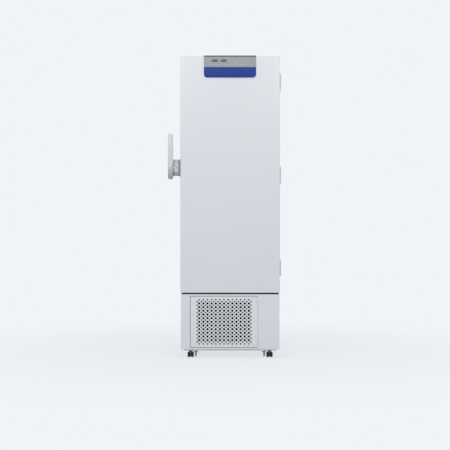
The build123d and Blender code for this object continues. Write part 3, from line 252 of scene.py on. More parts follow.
def foam(name, rgb, cell=260.0, depth=0.5):
    """Cut or open-cell foam."""
    n = Nodes(name)
    colour = linear(*rgb)
    cells = n.cells(cell)["Distance"]
    tinted = n.mix(n.band(cells, 0.0, 0.6), shade_of(colour, 1.12), shade_of(colour, 0.7))
    tinted = n.mix(n.band(n.noise(7.0, 4.0), 0.35, 0.75, 0.0, 0.5), tinted, shade_of(colour, 0.85))
    return n.surface(tinted, 0.92, n.bump(cells, depth, 0.002), 0.0, 0.0, 0.2)


def copper(name, rgb):
    """Drawn tube, bright with browner heat-tinted patches."""
    n = Nodes(name)
    colour = linear(*rgb)
    patch = n.band(n.noise(24.0, 6.0, 0.65), 0.42, 0.7)
    tinted = n.mix(patch, shade_of(colour, 1.1), shade_of(colour, 0.55))
    gloss = n.band(patch, 0, 1, 0.22, 0.5)
    return n.surface(tinted, gloss, n.bump(n.noise(500.0, 3.0), 0.05, 0.0003), 1.0)


# edge= sets the strength of a painted highlight on convex edges
FINISH = {
    "white_paint": paint("door_white_coat", (231, 234, 238), 0.36, 0.012, 0.03, 0.2),
    "grey_paint": paint("casting_grey_coat", (213, 217, 222), 0.34, 0.02, 0.06, 0.2, edge=0.25),
    "dark_paint": paint("tray_dark_coat", (92, 95, 99), 0.5, 0.06, 0.08, 0.0),
    "black_paint": paint("compressor_black_coat", (24, 25, 27), 0.32, 0.08, 0.08, 0.3, edge=0.12),
    "galvanised_steel": spangled("galvanised_sheet", (176, 181, 186)),
    "stainless_steel": brushed("stainless_sheet", (196, 199, 202), 2, 0.26),
    "bright_steel": brushed("bright_turned_steel", (190, 193, 197), 0, 0.22),
    "insulation_foam": foam("insulation_foam_cut", (226, 208, 160)),
    "white_plastic": plastic("white_moulding", (232, 234, 236), 0.42, 0.015, 1500.0, 0.05),
    "grey_plastic": plastic("grey_overlay_film", (163, 165, 168), 0.5, 0.03, 1900.0, 0.05),
    "light_grey_plastic": plastic("light_grey_moulding", (203, 206, 209), 0.46, 0.02),
    "blue_plastic": plastic("blue_overlay_film", (3, 50, 136), 0.58, 0.04, 1900.0, 0.04),
    "dark_display": plastic("smoked_display_window", (108, 110, 114), 0.18, 0.03, 2200.0, 0.01, 0.5),
    "filter_foam": foam("black_filter_foam", (20, 20, 21), 600.0, 0.7),
    "copper_tube": copper("copper_tube_wall", (190, 118, 82)),
    "aluminium_fins": brushed("aluminium_fin_stock", (186, 190, 194), 2, 0.36),
    "seal_rubber": rubber("seal_grey_rubber", (196, 198, 200), 0.62, 0.2),
    "black_rubber": rubber("wheel_black_rubber", (50, 52, 56)),
    "black_plastic": plastic("black_moulding", (30, 31, 33), 0.4, 0.06, 1200.0, 0.1),
}

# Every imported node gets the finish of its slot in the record
SLOT_OF = {part["node"]: part["material_slot"] for part in frame["record"]["subparts"]}
for name, node in nodes.items():
    node.data.materials.clear()
    node.data.materials.append(FINISH[SLOT_OF[name]])

# Tones of single pieces, beside the record's slots
# Here too edge= sets a painted highlight on convex edges
EXTRA = {
    "rim_white": plastic("panel_rim_white", (246, 248, 250), 0.4, 0.01, 1500.0, 0.03),
    # Painted shade: the dark strip along the top edge of the control panel
    "panel_top_dark": plastic("panel_top_strip", (104, 107, 111), 0.5, 0.03, 1700.0, 0.05),
    "digit_dark": plastic("display_digit_ink", (58, 60, 66), 0.35, 0.05, 1500.0, 0.02),
    "mark_light": plastic("printed_mark_light", (206, 208, 210), 0.5, 0.03, 1500.0, 0.03),
    "mark_green": plastic("indicator_lens_green", (176, 200, 178), 0.3, 0.04, 900.0, 0.04, 0.4),
    "mark_red": plastic("indicator_lens_red", (206, 178, 176), 0.3, 0.04, 900.0, 0.04, 0.4),
    "key_grey": plastic("key_cap_grey", (176, 178, 181), 0.5, 0.03, 1500.0, 0.06),
    "mark_pink": plastic("printed_mark_warm", (222, 205, 203), 0.5, 0.03, 1500.0, 0.03),
    "foot_grey": plastic("foot_boot_grey", (246, 247, 248), 0.5, 0.03, 1100.0, 0.1),
    "hub_grey": plastic("wheel_hub_grey", (72, 75, 79), 0.5, 0.05, 1100.0, 0.1),
    "hood_grey": plastic("castor_hood_grey", (150, 154, 158), 0.48, 0.05, 1100.0, 0.1),
    "fascia_white": paint("fascia_white_coat", (229, 233, 236), 0.38, 0.014, 0.03, 0.15),
    "mesh_white": paint("perforated_sheet_coat", (231, 235, 237), 0.42, 0.014, 0.03, 0.1),
    "latch_grey": paint("latch_housing_coat", (216, 220, 225), 0.36, 0.03, 0.06, 0.2, edge=0.3),
    "latch_dark": plastic("latch_seal_dark", (165, 168, 173), 0.55, 0.05, 1000.0, 0.12),
    # Painted shade: the latch's sloped brows, darker than the housing, the lower one darkest
    "brow_upper": paint("latch_brow_upper", (190, 193, 199), 0.4, 0.03, 0.06, 0.1, edge=0.2),
    "brow_lower": paint("latch_brow_lower", (176, 177, 180), 0.4, 0.03, 0.06, 0.1, edge=0.2),
    # The lever gets painted shade: darker below 1.3 m and on its sides
    "lever_grey": paint(
        "lever_casting_coat", (219, 223, 228), 0.34, 0.02, 0.06, 0.2, painted_shade=(1.2, 1.3, 0.5, 0.62)
    ),
    "hinge_grey": paint("hinge_leaf_coat", (221, 224, 228), 0.36, 0.02, 0.05, 0.2, edge=0.2),
}


# Mesh helpers: every shape is given in cabinet millimetres
def bevelled(bm, verts, radius, steps, keep=None):
    """Rounds the corners between these vertices, or those of them that `keep` picks."""
    if not radius:
        return
    edges = list({e for v in verts for e in v.link_edges})
    edges = [e for e in edges if len(e.link_faces) == 2 and e.calc_face_angle(0.0) > 0.35]
    if keep:
        edges = [e for e in edges if keep(e)]
    bmesh.ops.bevel(
        bm, geom=edges, offset=radius * MM, offset_type="OFFSET", segments=steps,
        profile=0.5, affect="EDGES", clamp_overlap=True,
    )


def add_box(bm, x, y, z, radius=0.0, steps=3, keep=None):
    low, high = at(x[0], y[0], z[0]), at(x[1], y[1], z[1])
    size = high - low
    matrix = Matrix.Translation((low + high) / 2) @ Matrix.Diagonal((*size, 1.0))
    verts = bmesh.ops.create_cube(bm, size=1.0, matrix=matrix)["verts"]
    bevelled(bm, verts, radius, steps, keep)


def add_prism(bm, axis, points, span, radius=0.0, steps=3):
    """A profile extruded along an axis: (y, z) points for x, (x, z) for y, (x, y) for z."""
    order = {
        "x": lambda a, b, t: at(t, a, b),
        "y": lambda a, b, t: at(a, t, b),
        "z": lambda a, b, t: at(a, b, t),
    }[axis]
    first = [bm.verts.new(order(a, b, span[0])) for a, b in points]
    second = [bm.verts.new(order(a, b, span[1])) for a, b in points]
    faces = [bm.faces.new(first), bm.faces.new(list(reversed(second)))]
    count = len(points)
    for i in range(count):
        j = (i + 1) % count
        faces.append(bm.faces.new((first[j], first[i], second[i], second[j])))
    bmesh.ops.recalc_face_normals(bm, faces=faces)
    bevelled(bm, first + second, radius, steps)


def add_turned(bm, axis, centre, profile, sides=32):
    """A body turned about an axis: (radius, place along the axis) points, closed at both ends."""
    rings = []
    for radius, along in profile:
        ring = []
        for i in range(sides):
            a = 2 * math.pi * i / sides
            c, s = radius * math.cos(a), radius * math.sin(a)
            place = {
                "x": (along, centre[0] + c, centre[1] + s),
                "y": (centre[0] + c, along, centre[1] + s),
                "z": (centre[0] + c, centre[1] + s, along),
            }[axis]
            ring.append(bm.verts.new(at(*place)))
        rings.append(ring)
    faces = [bm.faces.new(rings[0]), bm.faces.new(list(reversed(rings[-1])))]
    for a, b in zip(rings, rings[1:]):
        for i in range(sides):
            j = (i + 1) % sides
            faces.append(bm.faces.new((a[j], a[i], b[i], b[j])))
    bmesh.ops.recalc_face_normals(bm, faces=faces)


def add_screw(bm, axis, side, centre, face, radius=4.5, height=2.2):
    """A pan-head screw with a recess, its head standing `height` off the face."""
    top = face + side * height
    profile = [
        (radius, face), (radius, face + side * height * 0.45),
        (radius * 0.8, face + side * height * 0.85), (radius * 0.42, top),
        (radius * 0.3, face + side * height * 0.5), (radius * 0.08, face + side * height * 0.45),
    ]
    add_turned(bm, axis, centre, profile, 18)


def piece(name, bm, body, finish, stands_for=(), angle=38.0):
    """Makes the object, shades it, sets its finish and lets it ride on its body."""
    bmesh.ops.remove_doubles(bm, verts=bm.verts, dist=1e-6)
    mesh = bpy.data.meshes.new(name)
    bm.to_mesh(mesh)
    bm.free()
    mesh.shade_smooth()
    mesh.set_sharp_from_angle(angle=math.radians(angle))
    made = bpy.data.objects.new(name, mesh)
    bpy.context.scene.collection.objects.link(made)
    mesh.materials.append(EXTRA.get(finish) or FINISH[finish])
    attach(made, body)
    if stands_for:
        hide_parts(*stands_for)


def arc(cx, cy, radius, start, end, steps):
    """Points on an arc, angles in degrees."""
    return [
        (cx + radius * math.cos(math.radians(start + (end - start) * i / steps)),
         cy + radius * math.sin(math.radians(start + (end - start) * i / steps)))
        for i in range(steps + 1)
    ]


def rounded(x, z, radius, steps=6):
    """Outline of a rectangle with rounded corners."""
    return (
        arc(x[1] - radius, z[1] - radius, radius, 0, 90, steps)
        + arc(x[0] + radius, z[1] - radius, radius, 90, 180, steps)
        + arc(x[0] + radius, z[0] + radius, radius, 180, 270, steps)
        + arc(x[1] - radius, z[0] + radius, radius, 270, 360, steps)
    )


def soften(name, width, steps=2):
    """Rounds a carried-over node's edges with modifiers; its own mesh stays as packed."""
    node = nodes[name]
    weld = node.modifiers.new("join_corners", "WELD")
    weld.merge_threshold = 0.00001
    bevel = node.modifiers.new("soft_edges", "BEVEL")
    bevel.width = width * MM
    bevel.segments = steps
    bevel.limit_method = "ANGLE"
    bevel.angle_limit = math.radians(40)
    bevel.harden_normals = True


# Camera and light
CAMERA_PLACE, LENS, SENSOR_WIDTH = (0.0, -7.429, 0.8817), 84.85, 36.0
BACKGROUND = linear(240, 244, 248)

scene = bpy.context.scene
camera_data = bpy.data.cameras.new("photo_camera")
camera_data.sensor_width = SENSOR_WIDTH
camera_data.lens = LENS
camera = bpy.data.objects.new("photo_camera", camera_data)
camera.location = CAMERA_PLACE
camera.rotation_euler = (math.radians(90), 0.0, 0.0)
scene.collection.objects.link(camera)
scene.camera = camera
scene.view_settings.view_transform = "Standard"


def light(name, place, aim, size, power):
    """An area lamp turned towards a point, in metres and watts."""
    data = bpy.data.lights.new(name, "AREA")
    data.shape = "RECTANGLE"
    data.size, data.size_y = size
    data.energy = power
    lamp = bpy.data.objects.new(name, data)
    lamp.location = place
    lamp.rotation_euler = (Vector(aim) - Vector(place)).to_track_quat("-Z", "Y").to_euler()
    scene.collection.objects.link(lamp)


light("key_softbox", (-2.6, -4.6, 4.0), (0.0, -0.4, 1.75), (2.4, 1.8), 80.0)
light("fill_softbox", (2.6, -4.6, 3.8), (0.0, -0.4, 1.75), (2.4, 1.8), 66.0)
light("top_softbox", (0.0, -0.2, 4.2), (0.0, 0.0, 1.0), (2.6, 2.6), 26.0)
light("back_softbox", (0.6, 4.0, 2.4), (0.0, 0.0, 1.0), (2.4, 2.0), 30.0)


def direct_rays(tree):
    """1 for camera, glossy and transmission rays: metal and glass show the background too."""
    path = tree.nodes.new("ShaderNodeLightPath")
    found = path.outputs["Is Camera Ray"]
    for kind in ("Is Glossy Ray", "Is Transmission Ray"):
        either = tree.nodes.new("ShaderNodeMath")
        either.operation = "MAXIMUM"
        tree.links.new(found, either.inputs[0])
        tree.links.new(path.outputs[kind], either.inputs[1])
        found = either.outputs[0]
    return found


world = bpy.data.worlds.new("studio")
scene.world = world
world.use_nodes = True
tree = world.node_tree
tree.nodes.clear()
plain = tree.nodes.new("ShaderNodeBackground")
plain.inputs["Color"].default_value = (0.97, 0.985, 1.0, 1.0)
plain.inputs["Strength"].default_value = 0.38
shown = tree.nodes.new("ShaderNodeBackground")
shown.inputs["Color"].default_value = BACKGROUND
shown.inputs["Strength"].default_value = 1.0
mixer = tree.nodes.new("ShaderNodeMixShader")
output = tree.nodes.new("ShaderNodeOutputWorld")
tree.links.new(direct_rays(tree), mixer.inputs["Fac"])
tree.links.new(plain.outputs[0], mixer.inputs[1])
tree.links.new(shown.outputs[0], mixer.inputs[2])
tree.links.new(mixer.outputs[0], output.inputs["Surface"])

# A pale floor that takes the shadow and fades into the background further out
floor_bm = bmesh.new()
bmesh.ops.create_grid(floor_bm, x_segments=1, y_segments=1, size=14.0)
floor_mesh = bpy.data.meshes.new("studio_floor")
floor_bm.to_mesh(floor_mesh)
floor_bm.free()
floor = bpy.data.objects.new("studio_floor", floor_mesh)
scene.collection.objects.link(floor)
ground = bpy.data.materials.new("studio_floor_pale")
ground.use_nodes = True
tree = ground.node_tree
tree.nodes.clear()
matt = tree.nodes.new("ShaderNodeBsdfDiffuse")
matt.inputs["Color"].default_value = linear(236, 240, 244)
even = tree.nodes.new("ShaderNodeEmission")
even.inputs["Color"].default_value = BACKGROUND
place = tree.nodes.new("ShaderNodeTexCoord")
reach = tree.nodes.new("ShaderNodeVectorMath")
reach.operation = "LENGTH"
tree.links.new(place.outputs["Object"], reach.inputs[0])
fade = tree.nodes.new("ShaderNodeMapRange")
fade.interpolation_type = "SMOOTHSTEP"
fade.inputs["From Min"].default_value = 0.5
fade.inputs["From Max"].default_value = 2.6
fade.inputs["To Min"].default_value = 0.78
fade.inputs["To Max"].default_value = 1.0
tree.links.new(reach.outputs["Value"], fade.inputs["Value"])
share = tree.nodes.new("ShaderNodeMath")
share.operation = "MULTIPLY"
tree.links.new(fade.outputs["Result"], share.inputs[1])
blend_floor = tree.nodes.new("ShaderNodeMixShader")
output = tree.nodes.new("ShaderNodeOutputMaterial")
tree.links.new(direct_rays(tree), share.inputs[0])
tree.links.new(share.outputs[0], blend_floor.inputs["Fac"])
tree.links.new(matt.outputs[0], blend_floor.inputs[1])
tree.links.new(even.outputs[0], blend_floor.inputs[2])
tree.links.new(blend_floor.outputs[0], output.inputs["Surface"])
floor.data.materials.append(ground)


# Door skin: one folded pan with a soft front edge
def in_front(edge):
    return (edge.verts[0].co.y + edge.verts[1].co.y) / 2 < at(0, 60, 0).y


bm = bmesh.new()
add_box(bm, (-DOOR_HALF, DOOR_HALF), (0, 98), (DOOR_LOW, TOP), 5.0, 4, in_front)
piece("door_pan", bm, "door", "white_paint", ["door_skin"])

# Control panel: rim, a dark top strip of painted shade along the panel's top edge, grey face with windows,
# lamps and printed marks
PANEL_X, PANEL_LOW, BAND_TOP, STRIP_LOW = (-172.9, 170.9), 1854.2, 1923.5, 1990.0
PANEL_FRONT = -6.0
DISPLAYS = (-101.3, -42.5)
KEYS = (-90.4, -35.6, 16.5, 77.9)
DISPLAY_Z, KEY_Z = 1965.7, 1939.4


def panel_outline(grow, top, bottom, radius, steps=10):
    """The panel's outline, square above and rounded below."""
    x0, x1 = PANEL_X[0] - grow, PANEL_X[1] + grow
    return (
        [(x0, top)] + arc(x0 + radius, bottom + radius, radius, 180, 270, steps)
        + arc(x1 - radius, bottom + radius, radius, 270, 360, steps) + [(x1, top)]
    )


def add_frame(bm, outline, inner, y, radius=0.0):
    """A closed band between two outlines with as many points, facing -Y."""
    rows = []
    for points, depth in ((outline, y[1]), (outline, y[0]), (inner, y[0]), (inner, y[1])):
        rows.append([bm.verts.new(at(px, depth, pz)) for px, pz in points])
    faces = []
    count = len(outline)
    for a, b in zip(rows, rows[1:] + rows[:1]):
        for i in range(count):
            j = (i + 1) % count
            faces.append(bm.faces.new((a[i], a[j], b[j], b[i])))
    bmesh.ops.recalc_face_normals(bm, faces=faces)
    bevelled(bm, [v for row in rows[1:3] for v in row], radius, 2)


bm = bmesh.new()
rim_outer = panel_outline(5.0, TOP - 0.2, PANEL_LOW - 5.0, 27.0)
rim_inner = panel_outline(0.3, TOP - 0.2, PANEL_LOW - 0.3, 22.3)
add_frame(bm, rim_outer, rim_inner, (-3.4, 0.2), 1.0)
piece("panel_rim", bm, "door", "rim_white")

bm = bmesh.new()
add_prism(bm, "y", panel_outline(0.0, BAND_TOP, PANEL_LOW, 22.0, 12), (PANEL_FRONT, 0.0), 0.7, 2)
piece("panel_band", bm, "door", "blue_plastic", ["accent_band"])

# The dark top strip is painted shade along the panel's top edge
bm = bmesh.new()
add_box(bm, PANEL_X, (PANEL_FRONT, 0.0), (STRIP_LOW, TOP), 0.9, 2)
piece("panel_top_strip", bm, "door", "panel_top_dark")


def add_pierced(bm, x, z, depth, holes):
    """A flat plate with rectangular windows, built from a grid of cells."""
    xs = sorted({x[0], x[1], *(v for h in holes for v in h[0])})
    zs = sorted({z[0], z[1], *(v for h in holes for v in h[1])})
    solid = {}
    for i in range(len(xs) - 1):
        for k in range(len(zs) - 1):
            cx, cz = (xs[i] + xs[i + 1]) / 2, (zs[k] + zs[k + 1]) / 2
            solid[i, k] = not any(hx[0] < cx < hx[1] and hz[0] < cz < hz[1] for hx, hz in holes)
    front = [[bm.verts.new(at(px, depth[0], pz)) for pz in zs] for px in xs]
    back = [[bm.verts.new(at(px, depth[1], pz)) for pz in zs] for px in xs]
    for (i, k), full in solid.items():
        if not full:
            continue
        bm.faces.new((front[i][k], front[i + 1][k], front[i + 1][k + 1], front[i][k + 1]))
        bm.faces.new((back[i][k + 1], back[i + 1][k + 1], back[i + 1][k], back[i][k]))
        for di, dk, a, b in (
            (-1, 0, (0, 1), (0, 0)), (1, 0, (1, 0), (1, 1)),
            (0, -1, (0, 0), (1, 0)), (0, 1, (1, 1), (0, 1)),
        ):
            if solid.get((i + di, k + dk)):
                continue
            f0, f1 = front[i + a[0]][k + a[1]], front[i + b[0]][k + b[1]]
            b0, b1 = back[i + a[0]][k + a[1]], back[i + b[0]][k + b[1]]
            bm.faces.new((f0, f1, b1, b0))
    loose = [v for v in bm.verts if not v.link_faces]
    bmesh.ops.delete(bm, geom=loose, context="VERTS")
    bmesh.ops.recalc_face_normals(bm, faces=bm.faces)


windows = [((x - 21.5, x + 21.5), (DISPLAY_Z - 8.5, DISPLAY_Z + 8.5)) for x in DISPLAYS]
sockets = [((x - 8.85, x + 8.85), (KEY_Z - 4.85, KEY_Z + 4.85)) for x in KEYS]
bm = bmesh.new()
add_pierced(bm, PANEL_X, (BAND_TOP, STRIP_LOW), (PANEL_FRONT, -0.8), windows + sockets)
add_box(bm, PANEL_X, (-0.8, 0.0), (BAND_TOP, STRIP_LOW))
piece("panel_face", bm, "door", "grey_plastic", ["panel_overlay"])

bm = bmesh.new()
for x in DISPLAYS:
    add_box(bm, (x - 21.4, x + 21.4), (-5.4, -3.6), (DISPLAY_Z - 8.4, DISPLAY_Z + 8.4), 0.5, 2)
piece("display_lenses", bm, "door", "dark_display", ["display_windows"])

SEGMENTS = {"0": "abcdef", "8": "abcdefg", "-": "g"}


def add_digit(bm, char, x, z, w, h, y):
    """One seven-segment character, its lower left corner at x, z."""
    t = 1.5
    bars = {
        "a": ((x, x + w), (z + h - t, z + h)), "d": ((x, x + w), (z, z + t)),
        "g": ((x, x + w), (z + h / 2 - t / 2, z + h / 2 + t / 2)),
        "b": ((x + w - t, x + w), (z + h / 2, z + h)), "c": ((x + w - t, x + w), (z, z + h / 2)),
        "e": ((x, x + t), (z, z + h / 2)), "f": ((x, x + t), (z + h / 2, z + h)),
    }
    for name in SEGMENTS[char]:
        bx, bz = bars[name]
        add_box(bm, bx, (y - 0.25, y), bz)


bm = bmesh.new()
for x in DISPLAYS:
    for i, char in enumerate("-80"):
        add_digit(bm, char, x - 15.5 + 11.5 * i, DISPLAY_Z - 5.6, 7.6, 11.2, -5.35)
piece("display_digits", bm, "door", "digit_dark")

# Small lamps beside the windows and printed marks under them
LAMP_DOME = [(2.6, -5.9), (2.6, -6.3), (1.9, -6.8), (0.3, -6.95)]
for name, finish, places in (
    ("status_lamps", "mark_green", ((7.2, 1967.0), (31.0, 1973.0), (64.0, 1973.0), (87.8, 1967.0))),
    ("alarm_lamps", "mark_red", ((8.6, 1953.8), (63.4, 1954.4))),
):
    bm = bmesh.new()
    for centre in places:
        add_turned(bm, "y", centre, LAMP_DOME, 16)
    piece(name, bm, "door", finish)
bm = bmesh.new()
for x in (-120.8, -63.4, -7.9, 47.5, 102.3):
    add_box(bm, (x - 3.4, x + 3.4), (-6.3, -5.95), (KEY_Z - 2.1, KEY_Z + 2.1), 0.15, 1)
add_box(bm, (27.0, 46.5), (-6.35, -5.95), (1952.4, 1955.4), 0.15, 1)
piece("panel_marks", bm, "door", "mark_light")

for i, x in enumerate(KEYS, 1):
    bm = bmesh.new()
    add_box(bm, (x - 8.5, x + 8.5), (-6.95, -3.0), (KEY_Z - 4.5, KEY_Z + 4.5), 1.3, 3)
    piece(f"key_cap_{i}", bm, f"key_{i}", "key_grey", [f"control_key_{i}"])
    bm = bmesh.new()
    half, tone = (6.0, "mark_pink") if x == KEYS[-1] else (3.6, "mark_light")
    add_box(bm, (x - half, x + half), (-7.0, -6.9), (KEY_Z - 2.3, KEY_Z + 2.3), 0.04, 1)
    piece(f"key_mark_{i}", bm, f"key_{i}", tone)

# Lever: one cast grip that turns back into the hub
LEVER_X = (-409.9, -377.2)
LEVER_SIDE = [
    (-6, 1484.6), (-10.6, 1482), (-13.4, 1476), (-13.4, 1380), (-13.4, 1290), (-13.4, 1206),
    (-11.4, 1194), (-6, 1186), (4, 1183.7), (14, 1185), (24, 1192), (40, 1205), (56, 1213.5),
    (70, 1220), (77, 1229), (78, 1238), (74, 1251), (62, 1259), (44, 1265), (28, 1276), (17, 1290),
    (12, 1304), (11, 1380), (11, 1472), (8, 1481), (2, 1484.6),
]
TAPER_Z, TAPER_LENGTH, TAPER = (1.212, 1.454), 0.031, 0.3
bm = bmesh.new()
add_prism(bm, "x", LEVER_SIDE, LEVER_X, 7.5, 5)
add_turned(bm, "x", (58, 1236), [(6.0, -378.0), (6.0, -334.5)], 24)
middle = at(sum(LEVER_X) / 2, 0, 0).x
for v in bm.verts:
    past = max(v.co.z - TAPER_Z[1], TAPER_Z[0] - v.co.z, 0.0) / TAPER_LENGTH
    v.co.x = middle + (v.co.x - middle) * (1 - TAPER * min(past, 1.0) ** 2)
piece("lever_casting", bm, "handle", "lever_grey", ["handle_lever"], 50)

bm = bmesh.new()
inlay = [
    (-403.4, -13.95), (-385.6, -13.95), (-384.0, -13.2), (-384.0, -10), (-405.0, -10), (-405.0, -13.2),
]
add_prism(bm, "z", inlay, (1262, 1462), 0.5, 2)
piece("lever_grip_inlay", bm, "handle", "hinge_grey")

# Latch housing: sloped nose with a brow above and below, dark seal along the door. The brows cover the
# nose's sloped faces in darker greys than the housing: painted shade, deepest on the lower one, which faces
# down.
NOSE = [
    (26, 1208.7), (12, 1222), (8, 1238), (8, 1282), (10, 1290), (20, 1308), (27, 1315), (96, 1315),
    (96, 1208.7),
]
SEAL = [
    (27, 1208.9), (15, 1222), (13, 1238), (13, 1284), (15, 1292), (23, 1306), (29, 1314.5),
    (95.8, 1314.5), (95.8, 1208.9),
]
FLANGE = [(22, 1203), (22, 1300), (34, 1320), (98, 1320), (98, 1203)]
BROW_UPPER = [
    (7.2, 1291.5), (9.4, 1296), (17.2, 1309), (24.5, 1316.0), (28, 1315.5), (28, 1312), (21, 1306),
    (12, 1291.5),
]
BROW_LOWER = [
    (7.2, 1236), (11.2, 1221), (25.5, 1207.6), (30, 1208.2), (29, 1213), (16, 1224), (12, 1236),
]
BROW_X = (-376.9, -344.0)

bm = bmesh.new()
add_prism(bm, "x", NOSE, (-376.7, -345.0), 3.2, 3)
piece("latch_housing", bm, "door", "latch_grey", ["latch_block"])

bm = bmesh.new()
add_prism(bm, "x", SEAL, (-346.5, -333.0), 2.0, 3)
add_prism(bm, "x", FLANGE, (-333.4, -DOOR_HALF), 1.2, 2)
for z0, z1 in ((1286, 1306), (1210, 1228)):
    middle = (z0 + z1) / 2
    clip = [
        (-336, z0), (-331, middle - 4), (-328.7, middle - 3), (-328.7, middle + 3), (-331, middle + 4),
        (-336, z1),
    ]
    add_prism(bm, "y", clip, (14, 60), 0.8, 2)
piece("latch_seal", bm, "door", "latch_dark")

for name, profile, finish in (
    ("latch_brow_upper", BROW_UPPER, "brow_upper"), ("latch_brow_lower", BROW_LOWER, "brow_lower"),
):
    bm = bmesh.new()
    add_prism(bm, "x", profile, BROW_X, 0.8, 2)
    piece(name, bm, "door", finish)

# Lock: collar in the housing and the face that turns in it
LOCK_CENTRE = (-363.7, 1266)
COLLAR = [(13.5, 9.0), (13.5, 6.6), (12.4, 5.2), (9.6, 4.8), (8.1, 5.6), (8.1, 12.0)]
LOCK_FACE = [(7.9, 12.0), (7.9, 5.9), (7.2, 5.3), (2.0, 5.2), (1.9, 6.2)]
bm = bmesh.new()
add_turned(bm, "y", LOCK_CENTRE, COLLAR, 40)
piece("lock_collar", bm, "door", "bright_steel")
bm = bmesh.new()
add_turned(bm, "y", LOCK_CENTRE, LOCK_FACE, 32)
add_box(bm, (-364.6, -362.8), (5.05, 5.3), (1262.2, 1269.8))
piece("lock_face", bm, "lock", "bright_steel", ["lock_cylinder"])

# Door hinges: leaves with soft edges, knuckles with turned ends, screws with low heads
HINGES = (540.0, 1159.5, 1779.0)
KNUCKLE = (335.5, 106)


def fixed_leaf(bm, z):
    """The cabinet's half of a hinge, below, from its lower end up."""
    add_box(bm, (CABINET_HALF, 330.5), (106, 184), (z, z + 56), 2.0, 3)
    barrel = [(5.0, z), (6.5, z + 1.5), (6.5, z + 54.6), (6.1, z + 55.4), (5.8, z + 55.6)]
    add_turned(bm, "z", KNUCKLE, barrel, 36)
    root = [(326, 108), (326, 102), (333, 99.8), (336, 101), (336, 112), (330.5, 120)]
    add_prism(bm, "z", root, (z + 1, z + 55), 0.6, 2)
    for y, dz in ((130, 14), (130, 42), (168, 14), (168, 42)):
        add_screw(bm, "x", 1, (y, z + dz), 330.4, 5.2, 2.0)


def swinging_leaf(bm, z):
    """The door's half, above the cabinet's."""
    add_box(bm, (DOOR_HALF, 333.5), (28, 105), (z + 56.3, z + 112), 2.0, 3)
    barrel = [(5.8, z + 56.5), (6.1, z + 56.7), (6.5, z + 57.5), (6.5, z + 110.5), (5.0, z + 112)]
    add_turned(bm, "z", KNUCKLE, barrel, 36)
    root = [(329, 104), (329, 110), (333, 112.2), (336, 111), (336, 100), (333.5, 92)]
    add_prism(bm, "z", root, (z + 57.3, z + 111), 0.6, 2)
    for y, dz in ((44, 70), (44, 98), (82, 70), (82, 98)):
        add_screw(bm, "x", 1, (y, z + dz), 333.4, 5.2, 2.0)


for body, name, node, leaf in (
    ("cabinet", "hinge_set_fixed", "hinge_leaves_cabinet", fixed_leaf),
    ("door", "hinge_set_swinging", "hinge_leaves_door", swinging_leaf),
):
    bm = bmesh.new()
    for z in HINGES:
        leaf(bm, z)
    piece(name, bm, body, "hinge_grey", [node])

# Gasket: magnetic bulb with a rounded face and a bellows fold
BULB = [
    (46.5, 100.1), (46.5, 103), (44, 104), (42.5, 106), (42.7, 109.5), (44.5, 111.5), (66.5, 111.6),
    (68.3, 109.5), (68.5, 106), (67, 104), (64.5, 103), (64.5, 100.1),
]
BELLOWS = [(69, 100.1), (70, 105.5), (72.5, 106.2), (75, 104.4), (76, 100.1)]


def add_ring_section(bm, section):
    """An (inset, y) section carried round the door's back, mitred at the corners."""
    rows = []
    for inset, y in section:
        x0, x1 = inset - DOOR_HALF, DOOR_HALF - inset
        z0, z1 = DOOR_LOW + inset, TOP - inset
        rows.append([bm.verts.new(at(px, y, pz)) for px, pz in ((x0, z0), (x1, z0), (x1, z1), (x0, z1))])
    faces = []
    for a, b in zip(rows, rows[1:] + rows[:1]):
        for i in range(4):
            j = (i + 1) % 4
            faces.append(bm.faces.new((a[i], a[j], b[j], b[i])))
    bmesh.ops.recalc_face_normals(bm, faces=faces)


bm = bmesh.new()
add_ring_section(bm, BULB)
add_ring_section(bm, BELLOWS)
piece("gasket_ring", bm, "door", "seal_rubber", ["door_gasket"], 60)

# Machine compartment front: folded sheet round the filter door's opening
GRILLE_X, GRILLE_Z = (-262.0, 181.5), (75.0, 410.0)
opening_x, opening_z = (GRILLE_X[0] - 3, GRILLE_X[1] + 1), (GRILLE_Z[0] - 3, GRILLE_Z[1] + 3)
border_x, border_z = (GRILLE_X[0] - 7, GRILLE_X[1] + 5), (GRILLE_Z[0] - 7, GRILLE_Z[1] + 7)
bm = bmesh.new()
add_pierced(bm, (-325.1, 325.1), (59.0, 424.0), (3.0, 4.2), [(opening_x, opening_z)])
add_box(bm, (-324.3, 324.3), (3.0, 23.0), (422.8, 424.0), 0.5, 2)
add_box(bm, (-324.3, 324.3), (21.8, 23.0), (411.0, 423.0))
add_box(bm, (-324.3, 324.3), (3.0, 15.0), (59.0, 60.2), 0.5, 2)
for x, start in ((-324.0, 90), (324.0, -90)):
    add_prism(bm, "z", arc(x, 4.5, 1.5, start, start + 180, 6), (59.2, 423.8))
add_frame(bm, rounded(border_x, border_z, 2.0, 2), rounded(opening_x, opening_z, 1.0, 2), (2.2, 3.2), 0.3)
piece("fascia_sheet", bm, "cabinet", "fascia_white", ["lower_fascia"])

